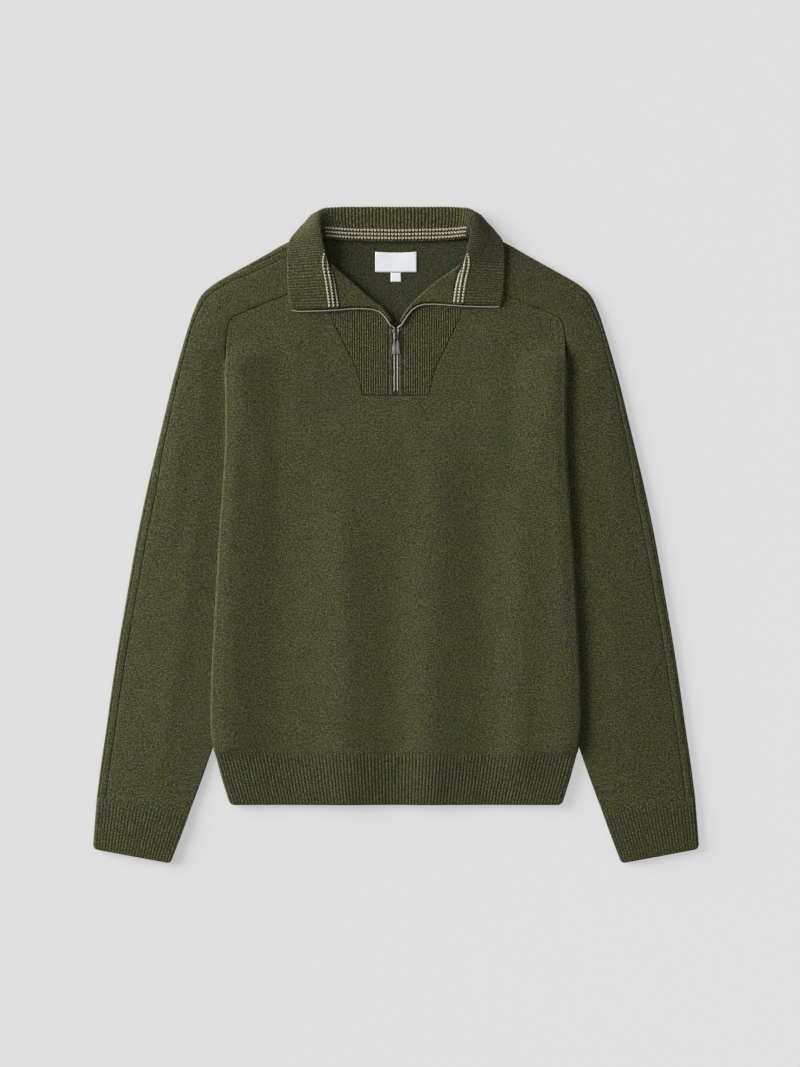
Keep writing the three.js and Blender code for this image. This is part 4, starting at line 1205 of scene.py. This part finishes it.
def collarGrid(ribs, vs):
    # smooth points of the collar: v is 0 at the neck seam, 1 at the ridge and 2 at the edge
    at = {key: curve(np.abs(ribs)) for key, curve in collarCurves.items()}
    seam = np.stack([at["seamX"], at["seamY"], at["seamZ"]], axis=-1)
    ridge = np.stack([at["ridgeX"], at["ridgeY"], at["ridgeZ"]], axis=-1)
    edge = np.stack([at["edgeX"], at["edgeY"], at["edgeZ"]], axis=-1)
    heading, turn = np.radians(at["heading"]), np.radians(at["turn"])
    out = np.stack([np.cos(heading), np.sin(heading), 0 * heading], axis=-1)
    up = np.array([0, 0, 1.0])
    rise = np.linalg.norm(ridge - seam, axis=-1, keepdims=True)
    reach = at["reach"][:, None]
    risen = (seam, mix(seam, ridge, 0.3) + 0.02 * rise * up, ridge - 0.3 * rise * out, ridge)
    back = edge - reach * np.cos(turn)[:, None] * out + 0.8 * reach * np.sin(turn)[:, None] * up
    turned = (ridge, ridge + reach * out, back, edge)
    grid = []
    for v in vs:
        (a, b, c, d), t = (risen, v) if v <= 1 else (turned, v - 1)
        grid.append(a * (1 - t) ** 3 + b * 3 * t * (1 - t) ** 2 + c * 3 * t * t * (1 - t) + d * t ** 3)
    grid = np.array(grid)
    grid[..., 0] *= np.where(ribs < 0, -1, 1)
    return grid


def makeCollar():
    ribs = np.linspace(-collar["perHalf"], collar["perHalf"], 2 * collar["perHalf"] * collar["samples"] + 1)
    ends = np.array([0, 0.005, 0.02, 0.035])
    vs = np.concatenate([ends, np.linspace(0.07, 1, 15), np.linspace(1.04, 1.95, 26), 2 - ends[::-1] * 0.8])
    base = collarGrid(ribs, vs)
    normal = normalsOf(base)
    if normal[10, normal.shape[1] // 2, 2] < 0:
        normal = -normal
    inner = base - normal * cloth["rib"]
    spacing = np.linalg.norm(np.gradient(base, axis=1), axis=-1) * collar["samples"]
    relief = np.minimum(collar["relief"], 0.25 * spacing) * smooth(0, 1.6, rimDistance(base))
    relief = relief * np.where((vs > 1.6)[:, None] & (base[..., 2] < 1.2), 0, 1)
    sway = 0.12 * lumps(base, 61.0, ((12, 1.0),))
    outer = base + normal * (relief * ribHeight(ribs[None, :] + sway))[..., None]
    wave = 0.25 * lumps(base, 63.0, ((22, 1.0), (8, 0.4))) * smooth(0, 6, rimDistance(base))
    outer += normal * wave[..., None]
    outer, inner = pinch(outer, inner, rimDistance(base), collar["rim"])
    for grid in (outer, inner):
        grid[..., 2] = np.maximum(grid[..., 2], 0)
        leanNeck(grid)
    lengths = runLengths(base)
    around = np.broadcast_to((ribs[None, :] + 0.5) * collar["pitch"], lengths.shape)
    uv = np.stack([around, lengths], axis=-1)
    return makeWall("collarCloth", outer, inner, uv)


collarCloth = makeCollar()
dress(collarCloth, collarRib, "rib", "collar")
print("stage: collar")


# Stripes: three rows of cream stitches on the collar, one stitch to a rib

stripes = {
    "backFirst": 4.2,  # from the neck seam to the first row, at the back and beside the opening
    "frontFirst": 1.4,
    "backGap": 4.5,
    "frontGap": 4.9,
    "rows": 3,
    "stitch": 3.5,
    "wide": 2.5,
    "leg": 0.64,
    "lift": 0.15,
    "closest": 2.5,  # ribs nearer to each other than this carry no stitch
}


def realised(name, source, tree, values):
    # runs a node tree on a source object and keeps the result as a plain mesh
    modifier = source.modifiers.new(name, "NODES")
    modifier.node_group = tree
    for item in tree.interface.items_tree:
        if item.item_type == "SOCKET" and item.in_out == "INPUT" and item.name in values:
            modifier[item.identifier] = values[item.name]
    bpy.context.view_layer.update()
    evaluated = source.evaluated_get(bpy.context.evaluated_depsgraph_get())
    mesh = bpy.data.meshes.new_from_object(evaluated)
    source.modifiers.remove(modifier)
    bpy.data.objects.remove(source)
    mesh.name = name
    return addObject(name, mesh)


def newTree(name, inputs):
    tree = bpy.data.node_groups.new(name, "GeometryNodeTree")
    tree.interface.new_socket("Geometry", in_out="INPUT", socket_type="NodeSocketGeometry")
    for label, kind, value in inputs:
        socket = tree.interface.new_socket(label, in_out="INPUT", socket_type=kind)
        if value is not None:
            socket.default_value = value
    tree.interface.new_socket("Geometry", in_out="OUTPUT", socket_type="NodeSocketGeometry")
    return tree, tree.nodes.new("NodeGroupInput"), tree.nodes.new("NodeGroupOutput")


def addSpline(curve, points):
    spline = curve.splines.new("POLY")
    spline.points.add(len(points) - 1)
    for target, point in zip(spline.points, points):
        target.co = (*(np.array(point) * metre), 1)
    return spline


def curveObject(name, points, radii):
    curve = bpy.data.curves.new(name, "CURVE")
    curve.dimensions = "3D"
    for target, radius in zip(addSpline(curve, points).points, radii):
        target.radius = radius
    return addObject(name, curve)


def finishTree(tree, geometry, given, result):
    # every tree ends as real geometry with its material, shaded smooth
    real = place(tree, "GeometryNodeRealizeInstances", {0: geometry})
    smoothed = place(tree, "GeometryNodeSetShadeSmooth", {0: real.outputs[0]})
    painted = place(tree, "GeometryNodeSetMaterial", {"Geometry": smoothed.outputs[0]})
    tree.links.new(given.outputs["Material"], painted.inputs["Material"])
    tree.links.new(painted.outputs[0], result.inputs[0])


def placeStitches(tree, given, stitch):
    # puts a stitch on each point, turned to the ways up and out of the cloth that the point carries
    ways = {
        k: place(tree, "GeometryNodeInputNamedAttribute", data_type="FLOAT_VECTOR", Name=label).outputs[0]
        for k, label in enumerate(("upward", "outward"))
    }
    turn = place(tree, "FunctionNodeAxesToRotation", ways, primary_axis="Z", secondary_axis="Y")
    links = {"Points": given.outputs["Geometry"], "Instance": stitch, "Rotation": turn.outputs[0]}
    return place(tree, "GeometryNodeInstanceOnPoints", links)


def stitchTree():
    # a V of two legs on each point, of the size that the point carries
    tree, given, result = newTree("knit stitches", [
        ("Leg Radius", "NodeSocketFloat", 0.0006),
        ("Stitch Height", "NodeSocketFloat", 0.0033),
        ("Stitch Width", "NodeSocketFloat", 0.0026),
        ("Material", "NodeSocketMaterial", None),
    ])
    legs = place(tree, "GeometryNodeJoinGeometry")
    tall = sumNode(tree, "MULTIPLY", given.outputs["Stitch Height"], 0.40)
    stretch = sumNode(tree, "DIVIDE", tall, given.outputs["Leg Radius"])
    scale = place(tree, "ShaderNodeCombineXYZ", {"Z": stretch}, X=1.0, Y=0.9)
    for way in (-1, 1):
        half = sumNode(tree, "MULTIPLY", given.outputs["Stitch Width"], 0.27 * way)
        ball = place(tree, "GeometryNodeMeshUVSphere", Segments=8, Rings=5)
        tree.links.new(given.outputs["Leg Radius"], ball.inputs["Radius"])
        spot = place(tree, "ShaderNodeCombineXYZ", {"X": half})
        links = {"Geometry": ball.outputs[0], "Scale": scale.outputs[0], "Translation": spot.outputs[0]}
        leg = place(tree, "GeometryNodeTransform", links, Rotation=(0, way * math.radians(24), 0))
        tree.links.new(leg.outputs[0], legs.inputs[0])
    spread = placeStitches(tree, given, legs.outputs[0])
    size = place(tree, "GeometryNodeInputNamedAttribute", data_type="FLOAT", Name="size")
    tree.links.new(size.outputs[0], spread.inputs["Scale"])
    finishTree(tree, spread.outputs[0], given, result)
    return tree


def runningStitchTree():
    tree, given, result = newTree("running stitch", [
        ("Thread", "NodeSocketFloat", 0.0002),
        ("Length", "NodeSocketFloat", 0.002),
        ("Material", "NodeSocketMaterial", None),
    ])
    ball = place(tree, "GeometryNodeMeshUVSphere", Segments=8, Rings=6)
    tree.links.new(given.outputs["Thread"], ball.inputs["Radius"])
    half = sumNode(tree, "MULTIPLY", given.outputs["Length"], 0.5)
    stretch = sumNode(tree, "DIVIDE", half, given.outputs["Thread"])
    scale = place(tree, "ShaderNodeCombineXYZ", {"Z": stretch}, X=1.0, Y=1.0)
    links = {"Geometry": ball.outputs[0], "Scale": scale.outputs[0]}
    thread = place(tree, "GeometryNodeTransform", links)
    finishTree(tree, placeStitches(tree, given, thread.outputs[0]).outputs[0], given, result)
    return tree


runningStitch = runningStitchTree()


def pointObject(name, points, ups, outs, sizes=None):
    # points that carry which way a stitch runs, which way is out of the cloth, and how large it is
    mesh = bpy.data.meshes.new(name)
    mesh.from_pydata([Vector(p) * metre for p in points], [], [])
    for label, values in (("upward", ups), ("outward", outs)):
        layer = mesh.attributes.new(label, "FLOAT_VECTOR", "POINT")
        layer.data.foreach_set("vector", np.array(values, dtype=np.float32).ravel())
    if sizes is not None:
        layer = mesh.attributes.new("size", "FLOAT", "POINT")
        layer.data.foreach_set("value", np.array(sizes, dtype=np.float32))
    return addObject(name, mesh)


def makeStripes():
    ribs = np.arange(-collar["perHalf"] + 1, collar["perHalf"])
    vs = np.linspace(0, 1.6, 400)
    grid = collarGrid(ribs.astype(float), vs)
    beside = 0.1  # share of a rib on either side that tells which way the collar runs
    pairs = collarGrid(np.stack([ribs - beside, ribs + beside]).T.ravel().astype(float), vs)
    across = pairs[:, 1::2] - pairs[:, 0::2]
    along = np.gradient(grid, axis=0)
    normal = np.cross(across, along)
    normal /= np.linalg.norm(normal, axis=-1, keepdims=True)
    if normal[40, len(ribs) // 2, 2] < 0:
        normal = -normal
    lengths = runLengths(grid)
    points, ups, outs, sizes = [], [], [], []
    for j, rib in enumerate(ribs):
        spacing = np.linalg.norm(across[30, j]) / (2 * beside)
        if spacing < stripes["closest"]:
            continue
        toFront = smooth(26, 40, abs(rib))
        first = mix(stripes["backFirst"], stripes["frontFirst"], toFront)
        gap = mix(stripes["backGap"], stripes["frontGap"], toFront)
        for row in range(stripes["rows"]):
            i = int(np.searchsorted(lengths[:, j], first + row * gap))
            points.append(leanNeck(grid[i, j] + normal[i, j] * (collar["relief"] + stripes["lift"])))
            ups.append(along[i, j] / np.linalg.norm(along[i, j]))
            outs.append(normal[i, j])
            sizes.append(min(spacing / collar["pitch"], 1))
    source = pointObject("stripe points", points, ups, outs, sizes)
    item = realised("stripeStitches", source, stitchTree(), {
        "Leg Radius": stripes["leg"] * metre,
        "Stitch Height": stripes["stitch"] * metre,
        "Stitch Width": stripes["wide"] * metre,
        "Material": creamYarn,
    })
    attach(item, "garment")


makeStripes()
print("stage: stripes")


# Zip: a cord on each side, and a tooth every so often along it

chain = columnsOf("x y z", [
    [1.5, 170.2, 5.4],
    [1.5, 234.0, 5.4],
    [1.55, 241.4, 5.5],
    [2.7, 243.4, 6.5],
    [6.8, 246.0, 8.3],
    [12.6, 255.3, 8.3],
    [19.2, 262.6, 8.3],
    [25.9, 265.8, 8.4],
    [32.8, 267.1, 8.5],
    [42.7, 267.4, 8.6],
    [56.2, 266.8, 8.8],
    [67.9, 265.8, 9.3],
    [81.9, 264.9, 9.6],
    [97.0, 264.4, 9.6],
    [113.5, 264.0, 9.6],
    [120.5, 265.0, 9.6],
])
zipSizes = {
    "toothPitch": 1.45,
    "toothLong": 1.05,
    "toothWide": 1.5,
    "toothHigh": 1.6,
    "closedX": 1.9,  # middle of a row of teeth where the zip is closed
    "tapeWide": 2.9,
    "pipingWide": 1.35,
    "pipingHigh": 1.2,
    "pipingStart": 3.4,  # row of the table where the pale piping begins
    "pipingFull": 8,  # and where it has its full width
    "pipingLift": 0.75,
    "turned": (4.5, 6.5),  # rows over which the teeth turn out of the closed zip
    "turnedSink": 0.55,  # how far they sink and shrink there
    "turnedShrink": 0.35,
    "tapeFrom": 169.9,
    "tapeTo": 240.5,
    "tapeTop": 5.0,
    "tapeThick": 0.7,
}


def toothTree():
    tree, given, result = newTree("zip teeth", [
        ("Pitch", "NodeSocketFloat", 0.0015),
        ("Tooth Long", "NodeSocketFloat", 0.001),
        ("Tooth Wide", "NodeSocketFloat", 0.0023),
        ("Tooth High", "NodeSocketFloat", 0.0017),
        ("Material", "NodeSocketMaterial", None),
    ])
    line = place(tree, "GeometryNodeResampleCurve", {"Curve": given.outputs["Geometry"]}, mode="LENGTH")
    tree.links.new(given.outputs["Pitch"], line.inputs["Length"])
    size = place(tree, "ShaderNodeCombineXYZ")
    for axis, label in (("X", "Tooth Wide"), ("Y", "Tooth High"), ("Z", "Tooth Long")):
        tree.links.new(given.outputs[label], size.inputs[axis])
    block = place(tree, "GeometryNodeMeshCube", {"Size": size.outputs[0]})
    rounded = place(tree, "GeometryNodeSubdivisionSurface", {0: block.outputs[0]}, Level=2)
    rounded.inputs["Edge Crease"].default_value = 0.6
    tangent = place(tree, "GeometryNodeInputTangent")
    axes = {"primary_axis": "Z", "secondary_axis": "Y"}
    turn = place(tree, "FunctionNodeAxesToRotation", {0: tangent.outputs[0]}, **axes)
    turn.inputs[1].default_value = (0, 0, 1)
    spread = place(tree, "GeometryNodeInstanceOnPoints", {
        "Points": line.outputs[0],
        "Instance": rounded.outputs[0],
        "Rotation": turn.outputs[0],
        "Scale": place(tree, "GeometryNodeInputRadius").outputs[0],
    })
    finishTree(tree, spread.outputs[0], given, result)
    return tree


def pipingTree():
    # a flat round cord along a line
    tree, given, result = newTree("piping", [
        ("Width", "NodeSocketFloat", 0.0017),
        ("Height", "NodeSocketFloat", 0.0013),
        ("Material", "NodeSocketMaterial", None),
    ])
    ring = place(tree, "GeometryNodeCurvePrimitiveCircle", Resolution=12, Radius=0.5)
    size = place(tree, "ShaderNodeCombineXYZ", {"X": given.outputs["Width"], "Y": given.outputs["Height"]})
    profile = place(tree, "GeometryNodeTransform", {"Geometry": ring.outputs[0], "Scale": size.outputs[0]})
    upright = place(tree, "GeometryNodeSetCurveNormal", {0: given.outputs["Geometry"]}, mode="Z_UP")
    links = {"Curve": upright.outputs[0], "Profile Curve": profile.outputs[0]}
    tube = place(tree, "GeometryNodeCurveToMesh", links, **{"Fill Caps": True})
    finishTree(tree, tube.outputs[0], given, result)
    return tree


teeth = toothTree()
piping = pipingTree()


def makeZipSide(side, name):
    rows = np.arange(len(chain["x"]))
    dense = np.linspace(0, rows[-1], 240)
    line = np.column_stack([np.interp(dense, rows, chain[key]) for key in ("x", "y", "z")])
    line[:, 0] = np.maximum(line[:, 0], zipSizes["closedX"])
    turned = smooth(*zipSizes["turned"], dense)
    line[:, 2] -= zipSizes["turnedSink"] * turned
    line[:, 0] *= side
    line = leanNeck(line)
    source = curveObject("zip line", line, 1 - zipSizes["turnedShrink"] * turned)
    item = realised("zipTeeth_" + name, source, teeth, {
        "Pitch": zipSizes["toothPitch"] * metre,
        "Tooth Long": zipSizes["toothLong"] * metre,
        "Tooth Wide": zipSizes["toothWide"] * metre,
        "Tooth High": zipSizes["toothHigh"] * metre,
        "Material": toothMetal,
    })
    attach(item, "garment")
    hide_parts("zip_chain_" + name)
    shown = dense >= zipSizes["pipingStart"]
    edge = line[shown] + [0, 0, zipSizes["pipingLift"]]
    growing = smooth(zipSizes["pipingStart"], zipSizes["pipingFull"], dense[shown])
    growing = growing * smooth(15.2, 14.6, dense[shown])
    cord = realised("zipPiping_" + name, curveObject("piping line", edge, 0.45 + 0.55 * growing), piping, {
        "Width": zipSizes["pipingWide"] * metre,
        "Height": zipSizes["pipingHigh"] * metre,
        "Material": paleTape,
    })
    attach(cord, "garment")
    ys = np.linspace(zipSizes["tapeFrom"], zipSizes["tapeTo"], 24)
    xs = np.array([0.2, 0.5, 1.2, 2.0, zipSizes["tapeWide"]])
    top = np.array([[[side * x, y, zipSizes["tapeTop"]] for x in xs] for y in ys])
    tape = makeWall("zipTape_" + name, top, top - [0, 0, zipSizes["tapeThick"]], top[..., :2].copy())
    dress(tape, darkTape, "zip_teeth")


makeZipSide(1, "left")
makeZipSide(-1, "right")


def extruded(name, outlines, low, high, bevel, turn=None):
    # a flat shape from closed lines of points, with soft edges; turn takes it from flat to its place
    curve = bpy.data.curves.new(name, "CURVE")
    curve.dimensions = "2D"
    curve.fill_mode = "BOTH"
    for outline in outlines:
        addSpline(curve, [(x, y, 0) for x, y in outline]).use_cyclic_u = True
    curve.extrude = (high - low) / 2 * metre - bevel * metre
    curve.bevel_depth = bevel * metre
    curve.bevel_resolution = 3
    curve.offset = -bevel * metre
    source = addObject(name, curve)
    bpy.context.view_layer.update()
    mesh = bpy.data.meshes.new_from_object(source.evaluated_get(bpy.context.evaluated_depsgraph_get()))
    bpy.data.objects.remove(source)
    mesh.transform(Matrix.Translation((0, 0, (low + high) / 2 * metre)))
    if turn is not None:
        mesh.transform(turn)
    sheet = bmesh.new()
    sheet.from_mesh(mesh)
    bmesh.ops.remove_doubles(sheet, verts=sheet.verts, dist=0.000001)
    bmesh.ops.recalc_face_normals(sheet, faces=sheet.faces)
    sheet.to_mesh(mesh)
    sheet.free()
    return addObject(name, mesh)


def bothSides(points):
    return [tuple(p) for p in points] + [(-x, y) for x, y in reversed(points)]


def rounded(outline, radius, steps=4):
    # cuts each corner of a closed line with a small curve
    points = []
    count = len(outline)
    for i in range(count):
        corner = np.array(outline[i], dtype=float)
        before, after = np.array(outline[i - 1]) - corner, np.array(outline[(i + 1) % count]) - corner
        reach = min(radius, 0.45 * np.linalg.norm(before), 0.45 * np.linalg.norm(after))
        a = corner + before / np.linalg.norm(before) * reach
        b = corner + after / np.linalg.norm(after) * reach
        for t in np.linspace(0, 1, steps):
            points.append(tuple(a * (1 - t) ** 2 + corner * 2 * t * (1 - t) + b * t * t))
    return points


def joined(name, items):
    # one mesh out of several
    whole = bmesh.new()
    for item in items:
        whole.from_mesh(item.data)
        bpy.data.objects.remove(item)
    mesh = bpy.data.meshes.new(name)
    whole.to_mesh(mesh)
    whole.free()
    return addObject(name, mesh)


slider = {
    "bridgeY": 230.8,
    "plateLow": 6.7,
    "plateHigh": 7.9,
    "bridgeClear": 1.75,
    "bridgeBar": 0.9,
    "bevel": 0.3,
}


def makeSlider():
    plate = bothSides([[2.4, 227.4], [2.9, 229.4], [3.0, 235.6], [3.9, 238.6], [3.7, 240.8], [2.4, 241.6]])
    crown = bothSides([[1.5, 228.4], [1.9, 236.0], [2.9, 239.2], [2.4, 240.6]])
    shoulder = [(2.2, 238.2), (3.7, 239.0), (3.5, 240.6), (2.2, 241.0)]
    high = slider["plateHigh"]
    items = [
        extruded("plate", [rounded(plate, 0.8)], slider["plateLow"], high, slider["bevel"]),
        extruded("crown", [rounded(crown, 0.8)], high - 0.4, high + 0.45, 0.25),
    ]
    for side in (1, -1):
        outline = [(side * x, y) for x, y in shoulder][::side]
        items.append(extruded("shoulder", [rounded(outline, 0.6)], 7.6, 8.7, 0.3))
    clear = high + slider["bridgeClear"]
    top = clear + slider["bridgeBar"]
    low = high - 0.2
    arch = [(-2.7, low), (-2.7, top - 0.8), (-1.9, top), (1.9, top), (2.7, top - 0.8), (2.7, low)]
    arch += [(1.7, low), (1.7, clear - 0.3), (1.4, clear), (-1.4, clear), (-1.7, clear - 0.3), (-1.7, low)]
    upright = Matrix.Translation((0, slider["bridgeY"] * metre, 0))
    upright = upright @ Matrix.Rotation(math.radians(90), 4, "Z") @ Matrix.Rotation(math.radians(90), 4, "X")
    items.append(extruded("bridge", [arch], -0.9, 0.9, 0.22, upright))
    item = joined("zipSlider", items)
    dress(item, sliderMetal, "zip_metal", "zip_slider")


pull = {
    "bar": 0.5,
    "neck": 2.3,  # half widths of the tab from its hinge to its foot
    "shoulder": 3.5,
    "foot": 4.7,
    "arms": 8.6,  # length of the two arms, and of the whole tab
    "length": 19,
    "thick": 1,
    "droop": 4,  # degrees
}


def makePull():
    outline = bothSides([
        [pull["neck"], pull["bar"]],
        [pull["neck"], -2],
        [pull["shoulder"], -pull["arms"]],
        [pull["foot"], -pull["length"] + 0.6],
        [pull["foot"] - 0.6, -pull["length"]],
    ])
    hole = bothSides([
        [pull["neck"] - 0.9, -pull["bar"]],
        [pull["neck"] - 0.8, -2],
        [pull["shoulder"] - 1.4, -pull["arms"] + 0.8],
    ])
    hub = Vector((0, slider["bridgeY"], slider["plateHigh"] + slider["bridgeClear"] / 2)) * metre
    turn = Matrix.Translation(hub) @ Matrix.Rotation(math.radians(pull["droop"]), 4, "X")
    half = pull["thick"] / 2
    items = [extruded("tab", [rounded(outline, 0.7), hole[::-1]], -half, half, 0.2, turn)]
    for side in (1, -1):
        rail = [(side * 0.55, -10.4), (side * 2.9, -10.4), (side * 3.5, -17.8), (side * 0.55, -17.8)][::side]
        items.append(extruded("rail", [rounded(rail, 0.5)], half - 0.15, half + 0.3, 0.18, turn))
    item = joined("zipPull", items)
    dress(item, pullMetal, "zip_metal", "zip_pull", rides="pull")


def makeStop():
    outline = [(-2.8, 168.0), (2.8, 168.0), (2.8, 169.8), (-2.8, 169.8)]
    item = extruded("zipStop", [rounded(outline, 0.5)], 4.4, 6.9, 0.35)
    dress(item, sliderMetal, "zip_metal", "zip_stop")


makeSlider()
makePull()
makeStop()


# Labels: bare white satin, a little wavy, with a stitched border

labels = {"low": 2.75, "thick": 0.45, "wave": 0.18, "sag": 1.0, "stitch": 2.1, "gap": 0.8, "thread": 0.16}


def makeLabel(name, node, half, bottom, top, columns, rows):
    x = np.linspace(-half, half, columns)[None, :]
    v = np.linspace(0, 1, rows)[:, None]
    sag = labels["sag"] * np.cos(np.pi * x / (2 * half)) * v * half / 24
    y = mix(bottom, top, v) - sag
    z = labels["low"] + labels["thick"] + labels["wave"] * (1 + np.sin(x / 5.5 + 2.2 * v) * np.cos(y / 7))
    top = np.stack([x + 0 * y, y, z + 0 * x], axis=-1)
    upper, lower = pinch(top, top - [0, 0, labels["thick"]], rimDistance(top), 0.3)
    item = makeWall(name, upper, lower, top[..., :2].copy())
    dress(item, labelSatin, "label", node)
    return top


def stitchesAlong(name, lines, material):
    # a running stitch: short threads with gaps between them
    points, ups, outs = [], [], []
    length = labels["stitch"]
    for line in lines:
        line = np.array(line)
        run = runLengths(line)
        spots = np.arange(length / 2, run[-1] - length / 2, length + labels["gap"])
        middles = np.column_stack([np.interp(spots, run, line[:, k]) for k in range(3)])
        ahead = np.column_stack([np.interp(spots + 0.2, run, line[:, k]) for k in range(3)]) - middles
        points += list(middles)
        ups += list(ahead / np.linalg.norm(ahead, axis=1, keepdims=True))
        outs += [np.array([0, 0, 1.0])] * len(middles)
    source = pointObject(name, points, ups, outs)
    values = {"Thread": labels["thread"] * metre, "Length": length * metre, "Material": material}
    item = realised(name, source, runningStitch, values)
    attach(item, "garment")


def makeLabels():
    neckLabel = makeLabel("neckLabel", "neck_label", 24.3, 308.1, 332.0, 40, 18)
    sizeTab = makeLabel("sizeTab", "size_tab", 6.1, 296.8, 307.8, 12, 12)
    lines = []
    lift = np.array([0, 0, 0.08])
    for grid in (neckLabel, sizeTab):
        lines += [grid[1, 1:-1] + lift, grid[-2, 1:-1] + lift, grid[1:-1, 1] + lift, grid[1:-1, -2] + lift]
    stitchesAlong("labelStitches", lines, labelSatin)


makeLabels()
print("stage: zip and labels")

lights = {
    "key": 5.5,  # light that reaches a square metre of the middle of the floor, turned to the key
    "keySoft": 40,  # degrees that the key covers, which sets how soft its shadows are
    "keyFrom": (-0.935, 0.33, 0.364),
    "keyFar": 4.2,  # metres from the middle of the floor, near enough to be weaker on the far side
    "world": 0.28,
    "floor": 0.32,
    "floorLight": 0.738,  # how bright the open floor is, with a glow of its own as on a light table
    "floorHalf": 4,  # metres
    "nearest": 1.2,  # the glow makes up for the key's falling off between these shares of its distance
    "furthest": 0.85,
}


def makeStage():
    mesh = bpy.data.meshes.new("floor")
    reach = lights["floorHalf"]
    corners = [(-reach, -reach), (reach, -reach), (reach, reach), (-reach, reach)]
    mesh.from_pydata([(x, y, -0.0002) for x, y in corners], [], [(0, 1, 2, 3)])
    floor = addObject("floor", mesh)
    material, tree, shader = blankMaterial("pale floor", (lights["floor"],) * 3, 0.9)
    far = Vector(lights["keyFrom"]).normalized() * lights["keyFar"]
    lit = lights["key"] / math.pi * far.normalized().z
    point = place(tree, "ShaderNodeTexCoord")
    toKey = place(tree, "ShaderNodeVectorMath", {0: point.outputs["Object"]}, operation="DISTANCE")
    toKey.inputs[1].default_value = far
    nearer = sumNode(tree, "DIVIDE", lights["keyFar"], toKey.outputs["Value"])
    nearer = sumNode(tree, "MINIMUM", nearer, lights["nearest"])
    nearer = sumNode(tree, "MAXIMUM", nearer, lights["furthest"])
    keyed = sumNode(tree, "MULTIPLY", sumNode(tree, "POWER", nearer, 3.0), lights["floor"] * lit)
    glow = sumNode(tree, "SUBTRACT", lights["floorLight"] - lights["floor"] * lights["world"], keyed)
    shader.inputs["Emission Color"].default_value = (1, 1, 1, 1)
    tree.links.new(glow, shader.inputs["Emission Strength"])
    floor.data.materials.append(material)
    lamp = bpy.data.lights.new("key", "AREA")
    lamp.shape = "DISK"
    cone = math.radians(lights["keySoft"] / 2)
    lamp.size = 2 * lights["keyFar"] * math.tan(cone)
    lamp.energy = lights["key"] * math.pi * (lamp.size / 2) ** 2 / math.sin(cone) ** 2
    key = addObject("key", lamp)
    key.location = far
    key.rotation_euler = far.to_track_quat("Z", "Y").to_euler()
    world = bpy.data.worlds.new("studio")
    world.use_nodes = True
    background = world.node_tree.nodes["Background"]
    background.inputs["Strength"].default_value = lights["world"]
    background.inputs["Color"].default_value = (1, 1, 1, 1)
    bpy.context.scene.world = world
    bpy.context.scene.view_settings.view_transform = "Standard"


camera = {"lens": 85, "height": 2.953, "x": 0.0047, "y": 0.0021}  # the place is in metres


def makeCamera():
    data = bpy.data.cameras.new("camera")
    data.lens = camera["lens"]
    data.sensor_width = 36
    item = addObject("camera", data)
    item.location = (camera["x"], camera["y"], camera["height"])
    bpy.context.scene.camera = item


makeStage()
makeCamera()
